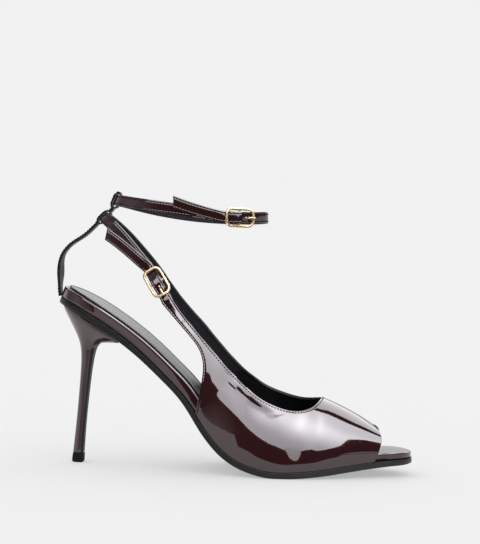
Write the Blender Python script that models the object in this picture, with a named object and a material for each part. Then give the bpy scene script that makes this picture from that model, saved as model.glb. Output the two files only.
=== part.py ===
"""Ankle strap heel: a right shoe in patent leather with a peep toe, a sling strap and an ankle strap.

Tables are in millimetres. x runs from the back of the heel to the toe, y is negative on the lateral
(outer) side and positive on the medial side, and z is the height above the floor. The model itself
is in metres, and its origin lies on the floor under the ball of the foot, BALL_X from the heel.
"""

import math
from collections import namedtuple

import bmesh
import bpy
import numpy
from mathutils import Matrix, Vector

MM = 0.001
BALL_X = 142.0
GAP = 0.3
MERGE = 0.01 * MM
SHARP_EDGE = math.radians(40.0)


class Curve:
    """Natural cubic spline through rows of numbers, with one key for each row."""

    def __init__(self, keys, rows):
        self.keys = numpy.array(keys, dtype=float)
        self.rows = numpy.array(rows, dtype=float)
        count = len(self.keys)
        step = numpy.diff(self.keys)
        slope = numpy.diff(self.rows, axis=0) / step[:, None]
        matrix = numpy.eye(count)
        right = numpy.zeros_like(self.rows)
        for i in range(1, count - 1):
            matrix[i, i - 1:i + 2] = step[i - 1], 2.0 * (step[i - 1] + step[i]), step[i]
            right[i] = 6.0 * (slope[i] - slope[i - 1])
        self.bend = numpy.linalg.solve(matrix, right)

    def at(self, key):
        key = min(max(key, self.keys[0]), self.keys[-1])
        i = min(int(numpy.searchsorted(self.keys, key, side="right")) - 1, len(self.keys) - 2)
        step = self.keys[i + 1] - self.keys[i]
        b = (key - self.keys[i]) / step
        a = 1.0 - b
        straight = a * self.rows[i] + b * self.rows[i + 1]
        bent = (a ** 3 - a) * self.bend[i] + (b ** 3 - b) * self.bend[i + 1]
        return straight + bent * step ** 2 / 6.0


class Table:
    """A short table with named columns, read between its rows by a Curve."""

    def __init__(self, columns, rows):
        names = columns.split()
        self.row_type = namedtuple("Row", names[1:])
        self.curve = Curve([row[0] for row in rows], [row[1:] for row in rows])

    def at(self, key):
        return self.row_type(*self.curve.at(key))


def world(x, y, z):
    """Table millimetres to the model's metres."""
    return Vector(((x - BALL_X) * MM, y * MM, z * MM))


def smooth_step(value, low, high):
    part = min(max((value - low) / (high - low), 0.0), 1.0)
    return part * part * (3.0 - 2.0 * part)


def stations(start, end, count):
    """Places from start to end, closer together towards both ends."""
    places = []
    for i in range(count):
        turn = math.pi * (i + 0.5) / count
        places.append(start + (end - start) * (1.0 - math.cos(turn)) / 2.0)
    return places


# Materials
def material(name, colour, roughness, metallic=0.0, coat=0.0):
    made = bpy.data.materials.new(name)
    made.use_nodes = True
    shader = made.node_tree.nodes["Principled BSDF"]
    shader.inputs["Base Color"].default_value = (*colour, 1.0)
    shader.inputs["Roughness"].default_value = roughness
    shader.inputs["Metallic"].default_value = metallic
    shader.inputs["Coat Weight"].default_value = coat
    return made


for existing in list(bpy.data.objects):
    bpy.data.objects.remove(existing, do_unlink=True)

PATENT = material("patent_leather", (0.045, 0.012, 0.014), 0.08, coat=1.0)
BLACK_SOLE = material("black_sole", (0.018, 0.018, 0.019), 0.55)
SOCK_LINING = material("sock_lining", (0.03, 0.03, 0.032), 0.35)
TIP_RUBBER = material("tip_rubber", (0.012, 0.012, 0.012), 0.6)
GOLD = material("gold", (0.83, 0.62, 0.33), 0.2, metallic=1.0)

SHOE = bpy.data.objects.new("ankle_strap_heel", None)
bpy.context.collection.objects.link(SHOE)


# Making objects
def add_object(name, bm, finish):
    """An object from a bmesh, shaded smooth, under the shoe's empty."""
    bmesh.ops.recalc_face_normals(bm, faces=bm.faces)
    mesh = bpy.data.meshes.new(name)
    bm.to_mesh(mesh)
    bm.free()
    mesh.materials.append(finish)
    mesh.shade_smooth()
    mesh.set_sharp_from_angle(angle=SHARP_EDGE)
    made = bpy.data.objects.new(name, mesh)
    bpy.context.collection.objects.link(made)
    made.parent = SHOE
    return made


def add_grid(bm, rows, closed):
    """Faces between neighbouring rows of points. closed joins each row's end to its start."""
    lines = [[bm.verts.new(point) for point in row] for row in rows]
    for near, far in zip(lines, lines[1:]):
        count = len(near)
        for i in range(count if closed else count - 1):
            j = (i + 1) % count
            bm.faces.new((near[i], near[j], far[j], far[i]))
    return lines


def loft(loops):
    """A closed body through loops of points, capped at both ends."""
    bm = bmesh.new()
    lines = add_grid(bm, loops, True)
    bm.faces.new(list(reversed(lines[0])))
    bm.faces.new(lines[-1])
    return bm


# The sole: tread is the top of the outsole, and half the half width of the insole about centre
SOLE = Table(
    "x tread outsole insole centre half",
    (
        (-4.0, 104.8, 4.0, 6.6, 0.0, 22.6),
        (12.0, 98.1, 4.0, 6.6, 0.0, 22.8),
        (25.0, 91.0, 4.1, 6.6, -0.2, 22.8),
        (40.0, 81.3, 3.9, 6.7, -0.7, 22.2),
        (55.0, 69.6, 3.6, 7.0, -1.5, 21.0),
        (70.0, 55.9, 3.4, 7.2, -2.3, 20.2),
        (80.0, 46.0, 3.4, 7.2, -2.7, 20.6),
        (85.0, 39.9, 3.5, 7.0, -2.9, 21.4),
        (90.0, 33.0, 3.6, 6.8, -3.0, 22.5),
        (97.0, 23.8, 3.7, 6.4, -3.2, 24.5),
        (104.5, 16.0, 3.8, 6.0, -3.2, 27.0),
        (112.0, 10.7, 3.9, 5.6, -2.9, 29.7),
        (122.0, 6.6, 4.0, 5.2, -2.0, 33.0),
        (134.0, 4.0, 4.0, 4.8, -0.5, 35.3),
        (150.0, 4.0, 4.0, 4.5, 1.3, 35.3),
        (165.0, 5.3, 4.0, 4.5, 2.7, 32.3),
        (180.0, 7.4, 4.0, 4.5, 3.7, 27.3),
        (196.0, 9.4, 3.9, 4.6, 4.3, 20.5),
        (210.0, 10.6, 3.7, 4.6, 4.4, 14.6),
        (223.0, 11.3, 3.5, 4.6, 4.5, 10.0),
    ),
)
HEEL_ROUND = 24.0
TOE_ROUND = 10.0
TOE_SQUARE = 2.2
TOE_X = 220.8
END_ROUND = 6.0
EDGE_PART = 0.25
SLOPE_REACH = 0.5
SOLVE_STEPS = 6
WALL = 1.6
WELT = WALL + 2.0 * GAP
UPPER_BACK = (84.0, 96.0)
UPPER_FRONT = (202.0, 207.0)


def sole_edges(x, start, end, grow):
    """The lateral and medial y of a sole layer that runs from start to end."""
    row = SOLE.at(x)
    half = row.half + grow
    back = min((x - start) / HEEL_ROUND, 1.0)
    half *= math.sqrt(1.0 - (1.0 - back) ** 2)
    front = min((end - x) / TOE_ROUND, 1.0)
    half *= (1.0 - (1.0 - front) ** TOE_SQUARE) ** (1.0 / TOE_SQUARE)
    return row.centre - half, row.centre + half


def sole_place(x, height):
    """x and z of a point square off the tread, height above it."""
    rise = SOLE.at(x + SLOPE_REACH).tread - SOLE.at(x - SLOPE_REACH).tread
    slope = rise / (2.0 * SLOPE_REACH)
    steep = math.sqrt(1.0 + slope * slope)
    return x - height * slope / steep, SOLE.at(x).tread + height / steep


def outsole_bottom(x):
    """Height of the outsole's underside above the floor at x."""
    foot = x
    for i in range(SOLVE_STEPS):
        foot += x - sole_place(foot, -SOLE.at(foot).outsole)[0]
    return sole_place(foot, -SOLE.at(foot).outsole)[1]


def end_pull(x, start, end):
    """1 at the back end of a layer and -1 at its front end, to round the edges there."""
    back = max(1.0 - (x - start) / END_ROUND, 0.0)
    front = max(1.0 - (end - x) / END_ROUND, 0.0)
    return back ** 2 - front ** 2


def sole_loop(x, edges, low, high, profile, pull):
    """A loop across a layer: profile has (inset, part of the height) from the bottom edge up."""
    lateral, medial = edges
    widest = max(inset for inset, part in profile)
    shrink = min(1.0, EDGE_PART * (medial - lateral) / widest)
    right, left = [], []
    for inset, part in profile:
        along, z = sole_place(x + inset * pull, low + part * (high - low))
        z = max(z, 0.0)
        right.append(world(along, medial - inset * shrink, z))
        left.append(world(along, lateral + inset * shrink, z))
    return right + left[::-1]


def make_outsole():
    start, end, count = 0.4, TOE_X + 0.4, 56
    slim = -0.3
    profile = ((1.8, 0.0), (0.5, 0.28), (0.0, 0.6), (0.0, 1.0))
    loops = []
    for x in stations(start, end, count):
        grow = slim + (WELT - slim) * smooth_step(x, *UPPER_BACK)
        edges = sole_edges(x, start, end, grow)
        pull = end_pull(x, start, end)
        loops.append(sole_loop(x, edges, -SOLE.at(x).outsole, 0.0, profile, pull))
    add_object("outsole", loft(loops), BLACK_SOLE)


def make_insole():
    start, end, count = 0.0, TOE_X, 52
    profile = ((0.6, 0.0), (0.0, 0.2), (0.0, 0.74), (0.5, 0.93), (1.7, 1.0))
    loops = []
    for x in stations(start, end, count):
        grow = WALL * smooth_step(x, *UPPER_FRONT)
        edges = sole_edges(x, start, end, grow)
        pull = end_pull(x, start, end)
        loops.append(sole_loop(x, edges, GAP, GAP + SOLE.at(x).insole, profile, pull))
    add_object("insole", loft(loops), PATENT)


SOCK_GAP = 0.4


def make_sock():
    start, end, count = 2.4, 194.0, 44
    inset, thick = -2.0, 1.0
    profile = ((0.0, 0.0), (0.0, 0.5), (0.5, 1.0))
    loops = []
    for x in stations(start, end, count):
        edges = sole_edges(x, start, end, inset)
        low = GAP + SOLE.at(x).insole + SOCK_GAP
        loops.append(sole_loop(x, edges, low, low + thick, profile, end_pull(x, start, end)))
    add_object("sock", loft(loops), SOCK_LINING)


# The heel: a row for each section from its foot to the seat, tilted from level to the seat's slope
HEEL = Table(
    "level back_x back_z front_x front_z half",
    (
        (0, 10.6, 6.2, 17.3, 6.2, 3.8),
        (1, 12.0, 24.0, 18.0, 24.0, 3.8),
        (2, 13.1, 42.0, 19.2, 42.0, 4.0),
        (3, 13.8, 59.0, 20.7, 59.0, 4.6),
        (4, 13.6, 68.8, 22.2, 69.0, 6.0),
        (5, 12.4, 75.2, 23.5, 72.7, 8.4),
        (6, 10.0, 81.0, 26.0, 74.8, 11.4),
        (7, 6.9, 87.0, 30.3, 75.7, 14.8),
        (8, 4.2, 92.0, 34.4, 76.0, 17.6),
        (9, 2.5, 95.6, 37.6, 76.1, 19.6),
        (10, 1.7, 97.6, 39.5, 76.2, 20.4),
    ),
)
HEEL_LEVELS = 24
HEEL_SEAT = 10
HEEL_WIDEST = 0.55
BREAST_TAPER = 0.14
BREAST_HOLLOW = 0.07
SEAT_GAP = 0.36
TIP_SECTIONS = ((0.0, 10.2, 17.4, 3.9), (2.0, 10.1, 17.5, 4.0), (5.9, 10.5, 17.4, 3.9))


def d_section(half, steps=8):
    """(part from back to front, y) round a section with a round back and a hollow breast."""
    side = []
    for i in range(1, steps + 1):
        along = 1.0 - math.cos(0.5 * math.pi * i / steps)
        if along < HEEL_WIDEST:
            across = math.sqrt(1.0 - (1.0 - along / HEEL_WIDEST) ** 2)
        else:
            across = 1.0 - BREAST_TAPER * ((along - HEEL_WIDEST) / (1.0 - HEEL_WIDEST)) ** 2
        side.append((along, half * across))
    lateral = [(along, -y) for along, y in reversed(side)]
    return [(0.0, 0.0)] + side + [(1.0 - BREAST_HOLLOW, 0.0)] + lateral


def make_heel():
    loops = []
    for i in range(HEEL_LEVELS + 1):
        level = HEEL_SEAT * i / HEEL_LEVELS
        row = HEEL.at(level)
        loop = []
        for along, y in d_section(row.half):
            x = row.back_x + along * (row.front_x - row.back_x)
            z = row.back_z + along * (row.front_z - row.back_z)
            if i == HEEL_LEVELS:
                z = outsole_bottom(x) - SEAT_GAP
            loop.append(world(x, y, z))
        loops.append(loop)
    add_object("heel", loft(loops), PATENT)


def make_top_piece():
    loops = []
    for z, back, front, half in TIP_SECTIONS:
        loops.append([world(back + along * (front - back), y, z) for along, y in d_section(half)])
    add_object("top_piece", loft(loops), TIP_RUBBER)


# The upper: ribs run from the sole to the ridge. Behind the throat they would meet over the instep, and
# the topline cuts them off before that.
LATERAL, MEDIAL = -1.0, 1.0
RIB_COLUMNS = namedtuple("Rib", "foot_x lateral_flare medial_flare crown_x crown_y crown_z belly")
WING_COLUMNS = namedtuple("WingRib", "foot_x foot_y foot_z flare top_x top_y top_z lean")
RIDGE = (
    (197.6, 26.0, 26.0, 196.5, 3.0, 30.4, 4.6),
    (191.0, 26.0, 26.0, 191.2, 3.0, 34.0, 2.4),
    (183.0, 25.0, 25.0, 183.0, 3.0, 38.4, 0.8),
    (174.0, 20.0, 20.0, 174.5, 2.8, 42.4, 0.0),
    (166.0, 13.5, 13.5, 167.5, 2.4, 45.2, 0.0),
    (160.5, 9.0, 9.0, 164.2, 2.0, 46.0, 0.0),
)
INSTEP = (
    (156.5, 7.0, 7.0, 162.8, 1.9, 46.3, 0.0),
    (152.5, 6.0, 6.0, 161.0, 1.8, 46.9, 0.0),
    (147.5, 5.5, 6.0, 157.5, 1.7, 48.4, 0.0),
    (141.0, 5.5, 7.5, 152.0, 1.7, 51.1, 0.0),
    (132.0, 7.0, 11.0, 144.3, 1.7, 57.0, 0.0),
    (120.5, 10.5, 15.5, 134.4, 1.7, 65.8, 0.0),
    (109.5, 15.5, 19.0, 130.0, 1.7, 75.0, 0.0),
    (98.5, 17.5, 21.0, 129.0, 1.7, 78.0, 0.0),
    (88.0, 15.0, 20.0, 130.5, 1.7, 77.0, 0.0),
)
INSTEP_SPREAD = 6.5
LATERAL_TOPLINE = (
    (164.2, 46.0),
    (163.2, 45.1),
    (160.4, 42.7),
    (156.0, 40.6),
    (149.5, 39.7),
    (140.5, 41.3),
    (129.4, 45.9),
    (121.4, 51.4),
    (115.8, 56.0),
    (111.0, 60.3),
)
LATERAL_WING = (
    (90.3, -28.9, 47.0, 0.0, 106.0, -26.1, 65.2, 17.0),
    (91.9, -28.6, 58.0, -8.0, 101.8, -25.8, 69.8, 17.0),
    (92.0, -27.6, 66.2, -11.0, 97.8, -25.6, 74.1, 16.0),
    (89.6, -27.1, 74.2, -12.0, 93.6, -25.7, 78.8, 15.0),
    (84.2, -27.6, 81.7, -13.0, 88.1, -26.2, 85.1, 15.0),
    (75.8, -28.5, 91.0, -12.0, 79.9, -27.2, 94.6, 13.0),
    (66.4, -29.5, 101.5, -8.5, 71.8, -28.5, 105.6, 8.5),
)
MEDIAL_TOPLINE = (
    (164.2, 46.0),
    (163.2, 45.7),
    (160.4, 44.9),
    (156.0, 44.2),
    (149.5, 44.4),
    (140.5, 46.4),
    (129.9, 50.2),
    (121.9, 55.1),
    (116.1, 59.5),
    (111.3, 63.8),
)
MEDIAL_WING = (
    (89.0, 23.4, 47.0, 13.0, 106.0, 23.6, 68.9, 17.0),
    (89.4, 25.4, 58.0, 2.0, 101.3, 24.4, 73.8, 18.0),
    (88.6, 26.8, 66.0, -7.0, 97.4, 25.2, 78.0, 18.0),
    (86.0, 27.6, 74.0, -11.0, 93.4, 26.0, 82.4, 17.0),
    (81.6, 28.2, 81.8, -11.0, 88.2, 26.8, 88.3, 15.0),
    (74.7, 28.8, 91.4, -9.0, 80.0, 27.7, 96.6, 11.0),
    (66.4, 29.5, 101.5, -8.5, 71.8, 28.5, 105.6, 8.5),
)
FOOT_GAP = 0.42
CROWN_LEAN = 90.0
THROAT = len(RIDGE) - 1
RIB_POINTS = 10
TOE_RIBS = 7
SOLE_RIBS = 21
WING_STEPS = 3
TOPLINE_STEPS = 24
BORDER_STEPS = 90
BISECTIONS = 40
LEAD_IN = 3
LEAN_STEP = 0.01


def sole_foot(side, x):
    """Where the upper meets the outsole's top at x."""
    row = SOLE.at(x)
    along, z = sole_place(x, FOOT_GAP)
    return along, row.centre + side * (row.half + WELT), z


def rib_arc(side, foot, flare, top, lean):
    """Four control points of a rib that leaves its foot flaring out and comes to its top leaning in."""
    foot, top = Vector(foot), Vector(top)
    lean, flare = math.radians(lean), math.radians(flare)
    rise = Vector((top.x - foot.x, 0.0, top.z - foot.z))
    up = rise.normalized()
    out = Vector((0.0, side, 0.0))
    leave = up * math.cos(flare) + out * math.sin(flare)
    arrive = up * math.cos(lean) - out * math.sin(lean)
    fullness = 1.0 / (3.0 * math.cos(0.25 * (lean + flare)) ** 2 * math.cos(0.5 * (lean - flare)))
    reach = abs(top.y - foot.y) * math.sin(lean) + rise.length * math.cos(lean)
    return foot, foot + leave * fullness * rise.length, top - arrive * fullness * reach, top


def on_arc(arc, b):
    a = 1.0 - b
    return a ** 3 * arc[0] + 3.0 * a * a * b * arc[1] + 3.0 * a * b * b * arc[2] + b ** 3 * arc[3]


class Last:
    """The form one side of the front is shaped over: ribs from the sole to the ridge or over the instep,
    found by their place along the shoe and how far up they are."""

    def __init__(self, side, topline):
        self.side = side
        rows = RIDGE + INSTEP
        self.corner = len(rows) - 1
        self.line = Curve(range(len(rows)), rows)
        edge = Curve(range(len(topline)), topline)
        count = (len(topline) - 1) * TOPLINE_STEPS
        self.topline = [Vector(edge.at(i / TOPLINE_STEPS)) for i in range(count + 1)]
        toe = [(0.0, 1.0 - i / BORDER_STEPS) for i in range(BORDER_STEPS)]
        sole = [(self.corner * i / BORDER_STEPS, 0.0) for i in range(BORDER_STEPS + 1)]
        tops = [THROAT + (self.corner - THROAT) * (i / BORDER_STEPS) ** 2 for i in range(BORDER_STEPS + 1)]
        self.outer = self.border(toe + sole)
        self.inner = self.border([(top, self.cut(top)) for top in tops])

    def arc(self, place):
        rib = RIB_COLUMNS(*self.line.at(place))
        behind = max((place - THROAT) / (self.corner - THROAT), 0.0)
        crown = (rib.crown_x, rib.crown_y + self.side * INSTEP_SPREAD * behind ** 3, rib.crown_z)
        flare = rib.lateral_flare if self.side == LATERAL else rib.medial_flare
        return rib_arc(self.side, sole_foot(self.side, rib.foot_x), flare, crown, CROWN_LEAN), rib.belly

    def point(self, place, b):
        arc, belly = self.arc(place)
        return on_arc(arc, b) + Vector((belly * math.sin(math.pi * b) ** (1.0 + b), 0.0, 0.0))

    def cut(self, place):
        """How far up a rib its side view, a straight line, meets the topline."""
        if place <= THROAT:
            return 1.0
        arc = self.arc(place)[0]
        foot = Vector((arc[0].x, arc[0].z))
        up = Vector((arc[3].x, arc[3].z)) - foot
        square = Vector((-up.y, up.x))
        share = 1.0
        for near, far in zip(self.topline, self.topline[1:]):
            aside = (near - foot).dot(square), (far - foot).dot(square)
            if aside[0] <= 0.0 < aside[1]:
                met = near.lerp(far, aside[0] / (aside[0] - aside[1]))
                share = min((met - foot).dot(up) / up.length_squared, 1.0)
        low, high = 0.0, 1.0
        for i in range(BISECTIONS):
            b = 0.5 * (low + high)
            point = on_arc(arc, b)
            if (Vector((point.x, point.z)) - foot).dot(up) < share * up.length_squared:
                low = b
            else:
                high = b
        return high

    def border(self, places):
        """Shares of a border's length, with the place and height there."""
        points = [self.point(*place) for place in places]
        lengths = [0.0]
        for near, far in zip(points, points[1:]):
            lengths.append(lengths[-1] + (far - near).length)
        place, height = zip(*places)
        return numpy.array(lengths) / lengths[-1], place, height

    def shares(self):
        """Evenly spread shares of the borders, along the toe edge and then along the sole."""
        toe_corner = self.outer[0][BORDER_STEPS]
        toe = [toe_corner * i / TOE_RIBS for i in range(TOE_RIBS)]
        return toe + [toe_corner + (1.0 - toe_corner) * i / SOLE_RIBS for i in range(SOLE_RIBS + 1)]

    def rib(self, share):
        """A line from the toe edge or the sole in to the topline."""
        outer = numpy.array([numpy.interp(share, self.outer[0], self.outer[i]) for i in (1, 2)])
        inner = numpy.array([numpy.interp(share, self.inner[0], self.inner[i]) for i in (1, 2)])
        return [self.point(*(outer + (inner - outer) * i / (RIB_POINTS - 1))) for i in range(RIB_POINTS)]


def upper_ribs(side, topline, wing):
    """Ribs over one side of the upper, from the ridge round to the strap, each from foot to top."""
    last = Last(side, topline)
    rows = [last.rib(share) for share in last.shares()]
    back = [WING_COLUMNS(*row) for row in wing]
    tops = []
    for place in range(last.corner - LEAD_IN, last.corner + 1):
        share = last.cut(place)
        tip = last.point(place, share)
        lean = tip - last.point(place, share - LEAN_STEP)
        tops.append((*tip, math.degrees(math.asin(-side * lean.normalized().y))))
    tops += [(rib.top_x, rib.top_y, rib.top_z, rib.lean) for rib in back]
    front = RIB_COLUMNS(*INSTEP[-1])
    back_edge = [(*rows[-1][0], front.lateral_flare if side == LATERAL else front.medial_flare)]
    back_edge += [(rib.foot_x, rib.foot_y, rib.foot_z, rib.flare) for rib in back]
    back_line = Curve(range(len(back_edge)), back_edge)
    top_line = Curve(range(-LEAD_IN, len(back) + 1), tops)
    for i in range(1, len(back) * WING_STEPS + 1):
        place = i / WING_STEPS
        *foot, flare = back_line.at(place)
        *top, lean = top_line.at(place)
        arc = rib_arc(side, foot, flare, top, lean)
        rows.append([on_arc(arc, k / (RIB_POINTS - 1)) for k in range(RIB_POINTS)])
    return rows


def upper_side(side, topline, wing):
    return [[world(*point) for point in rib] for rib in upper_ribs(side, topline, wing)]


def make_upper():
    bm = bmesh.new()
    add_grid(bm, upper_side(LATERAL, LATERAL_TOPLINE, LATERAL_WING), False)
    medial = upper_side(MEDIAL, MEDIAL_TOPLINE, MEDIAL_WING)
    add_grid(bm, [row[::-1] for row in medial], False)
    bmesh.ops.remove_doubles(bm, verts=bm.verts, dist=MERGE)
    upper = add_object("upper", bm, PATENT)
    wall = upper.modifiers.new("wall", "SOLIDIFY")
    wall.thickness = WALL * MM
    wall.offset = -1.0
    wall.use_even_offset = True


# Straps
STRAP_WIDTH = 6.8
STRAP_THICK = 1.5
STRAP_CHAMFER = 0.35


def strap_loop(centre, along, across, slant=0.0):
    """A chamfered loop round a strap's section. slant moves its upper edge along the strap."""
    along = along.normalized()
    across = (across - along * across.dot(along)).normalized()
    out = along.cross(across)
    wide, thick = 0.5 * STRAP_WIDTH, 0.5 * STRAP_THICK
    corners = []
    for w, t in ((1, 1), (-1, 1), (-1, -1), (1, -1)):
        edge = (w * wide, t * (thick - STRAP_CHAMFER))
        face = (w * (wide - STRAP_CHAMFER), t * thick)
        corners += [edge, face] if w * t > 0 else [face, edge]
    loop = []
    for w, t in corners:
        loop.append(world(*(centre + across * w + out * t + along * slant * w)))
    return loop


def strap(name, points, acrosses, end_slant=0.0):
    loops = []
    last = len(points) - 1
    for i, (centre, across) in enumerate(zip(points, acrosses)):
        along = points[min(i + 1, last)] - points[max(i - 1, 0)]
        loops.append(strap_loop(centre, along, across, end_slant if i == last else 0.0))
    add_object(name, loft(loops), PATENT)


# Sling: along runs down and forward from the lower tunnel, rise up and forward across the strap
LOWER_TUNNEL = Vector((25.35, 0.0, 153.1))
SLING_ALONG = Vector((0.693, 0.0, -0.721))
SLING_RISE = Vector((0.721, 0.0, 0.693))
SLING_COLUMNS = namedtuple("SlingRow", "along y rise lean")
SLING = (
    (65.3, 28.3, -2.7, 8.5),
    (54.0, 26.2, -1.4, 9.0),
    (43.0, 23.0, 0.3, 4.0),
    (31.0, 19.6, 1.2, 1.0),
    (19.0, 16.2, 1.6, 0.0),
    (9.5, 12.8, 1.2, 0.0),
    (3.6, 9.3, 0.6, 0.0),
    (0.6, 5.2, 0.1, 0.0),
    (-0.25, 0.0, 0.0, 0.0),
    (0.6, -5.2, 0.1, 0.0),
    (3.6, -9.2, 0.7, 0.0),
    (9.5, -12.5, 1.4, 0.0),
    (19.0, -15.6, 1.9, 0.0),
    (31.0, -18.7, 1.7, 0.0),
    (40.0, -20.4, 1.4, 2.0),
    (45.2, -21.5, 1.1, 4.0),
    (53.2, -25.7, 0.1, 5.0),
)
LATERAL_STRAP = (
    (64.4, -28.3, -2.5, 8.5),
    (61.8, -27.8, -1.7, 8.0),
    (53.5, -29.2, 0.0, 5.0),
    (45.2, -23.7, 1.3, 4.0),
    (38.0, -23.3, 0.6, 3.0),
    (28.0, -21.2, -0.8, 2.0),
    (18.0, -19.0, -2.6, 0.0),
    (10.6, -17.0, -4.5, 0.0),
)
SLING_STEPS = 4
TAIL_SLANT = 0.38


def sling_point(along, y, rise):
    return LOWER_TUNNEL + SLING_ALONG * along + SLING_RISE * rise + Vector((0.0, y, 0.0))


def sling_across(y, lean):
    """Across the strap: square to the sling's plane, with its top leaning in over the foot."""
    side = Vector((0.0, math.copysign(1.0, y), 0.0))
    turn = math.radians(lean)
    return SLING_RISE * math.cos(turn) - side * math.sin(turn)


def sling_route(rows):
    line = Curve(range(len(rows)), rows)
    points, acrosses = [], []
    for i in range((len(rows) - 1) * SLING_STEPS + 1):
        row = SLING_COLUMNS(*line.at(i / SLING_STEPS))
        points.append(sling_point(row.along, row.y, row.rise))
        acrosses.append(sling_across(row.y, row.lean))
    return points, acrosses


def make_sling():
    strap("sling_strap", *sling_route(SLING))
    strap("lateral_strap", *sling_route(LATERAL_STRAP), end_slant=TAIL_SLANT)


# Ankle strap: turn runs from the front over the lateral side, the back and the medial side
UPPER_TUNNEL = Vector((32.65, 0.0, 163.6))
ANKLE_CENTRE_X = 79.6
ANKLE_LONG = ANKLE_CENTRE_X - UPPER_TUNNEL.x
ANKLE_WIDE = 23.5
ANKLE_COLUMNS = namedtuple("AnkleRow", "out z lean")
ANKLE_TURNS = (
    (49.0, -1.95, 155.2, 4.0),
    (60.0, -3.0, 155.7, 4.0),
    (75.0, -2.1, 157.0, 4.0),
    (92.0, -1.4, 158.6, 5.0),
    (112.0, -0.9, 160.2, 7.0),
    (132.0, -0.4, 161.7, 10.0),
    (156.0, 0.0, 163.2, 15.0),
    (180.0, 0.34, 163.6, 19.0),
    (204.0, 0.0, 162.8, 15.0),
    (236.0, 0.0, 159.2, 9.0),
    (270.0, 0.0, 155.8, 5.0),
    (315.0, 0.0, 155.0, 4.0),
    (360.0, 0.0, 155.9, 3.0),
    (382.0, 0.0, 155.8, 3.0),
    (396.0, -0.8, 155.4, 4.0),
    (409.0, 1.75, 155.2, 4.0),
    (421.0, -0.9, 155.3, 4.0),
    (435.0, 0.2, 157.3, 4.0),
    (450.0, 0.9, 160.5, 5.0),
    (461.0, 1.5, 163.4, 6.0),
)
ANKLE_TABLE = Curve([row[0] for row in ANKLE_TURNS], [row[1:] for row in ANKLE_TURNS])
ANKLE_STEPS = 4
ANKLE_STEP_TURN = 9.0
ANKLE_SLANT = 0.4


def ankle_point(turn, out, z):
    angle = math.radians(turn)
    square = ankle_outward(turn)
    oval = Vector((ANKLE_CENTRE_X + ANKLE_LONG * math.cos(angle), -ANKLE_WIDE * math.sin(angle), z))
    return oval + square * out


def ankle_outward(turn):
    angle = math.radians(turn)
    return Vector((ANKLE_WIDE * math.cos(angle), -ANKLE_LONG * math.sin(angle), 0.0)).normalized()


def make_ankle_strap():
    turns = [ANKLE_TURNS[0][0]]
    for row, following in zip(ANKLE_TURNS, ANKLE_TURNS[1:]):
        stretch = following[0] - row[0]
        steps = max(ANKLE_STEPS, math.ceil(stretch / ANKLE_STEP_TURN))
        turns += [row[0] + stretch * (i + 1) / steps for i in range(steps)]
    points, acrosses = [], []
    for turn in turns:
        row = ANKLE_COLUMNS(*ANKLE_TABLE.at(turn))
        points.append(ankle_point(turn, row.out, row.z))
        lean = math.radians(row.lean)
        acrosses.append(Vector((0.0, 0.0, math.cos(lean))) - ankle_outward(turn) * math.sin(lean))
    strap("ankle_strap", points, acrosses, end_slant=ANKLE_SLANT)


# Back tab: two layers, glued but for the two tunnels that the straps run through
TAB_WIDTH = 8.0
TAB_LAYER = 0.9
TAB_STEPS = 4
TUNNEL = 1.7
TAB_TWIST = 0.2
TWIST_STARTS = (112.0, 121.0)
TWIST_ENDS = (128.0, 142.0)
TAB_LINE = (
    (-0.7, 103.5),
    (-0.95, 111.5),
    (-1.0, 118.4),
    (-0.8, 124.6),
    (0.5, 129.4),
    (3.1, 133.2),
    (6.8, 136.7),
    (12.4, 140.5),
    (17.0, 144.5),
    (20.7, 148.4),
    (25.35, 153.1),
    (29.4, 157.2),
    (31.0, 159.6),
    (32.65, 163.6),
    (34.1, 167.8),
    (34.5, 169.0),
)
TUNNELS = ((LOWER_TUNNEL, 5.0), (UPPER_TUNNEL, 5.0))
TUNNEL_SQUARE = 6.0


def tunnel_opening(place):
    """Half the space between the tab's layers at a point on its line."""
    for centre, reach in TUNNELS:
        away = (place - centre).length / reach
        if away < 1.0:
            return TUNNEL * (1.0 - away ** TUNNEL_SQUARE)
    return 0.0


def tab_twist(z):
    return TAB_TWIST * smooth_step(z, *TWIST_STARTS) * (1.0 - smooth_step(z, *TWIST_ENDS))


def make_back_tab():
    line = Curve(range(len(TAB_LINE)), TAB_LINE)
    count = (len(TAB_LINE) - 1) * TAB_STEPS
    places = []
    for i in range(count + 1):
        x, z = line.at(i / TAB_STEPS)
        places.append(Vector((x, 0.0, z)))
    layers = {1.0: [], -1.0: []}
    for i, place in enumerate(places):
        along = (places[min(i + 1, count)] - places[max(i - 1, 0)]).normalized()
        square = Vector((-along.z, 0.0, along.x))
        opening = tunnel_opening(place)
        for side, rows in layers.items():
            inner = place + square * side * opening
            outer = place + square * side * (opening + TAB_LAYER)
            rows.append([world(*inner), world(*outer)])
    bm = bmesh.new()
    for rows in layers.values():
        add_grid(bm, rows, False)
    bmesh.ops.remove_doubles(bm, verts=bm.verts, dist=MERGE)
    width = Vector((0.0, TAB_WIDTH * MM, 0.0))
    pushed = bmesh.ops.extrude_face_region(bm, geom=bm.faces[:])["geom"]
    moved = [item for item in pushed if isinstance(item, bmesh.types.BMVert)]
    bmesh.ops.translate(bm, verts=moved, vec=width)
    for vert in bm.verts:
        vert.co -= 0.5 * width
        vert.co.x += tab_twist(vert.co.z / MM) * vert.co.y
    add_object("back_tab", bm, PATENT)


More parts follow.
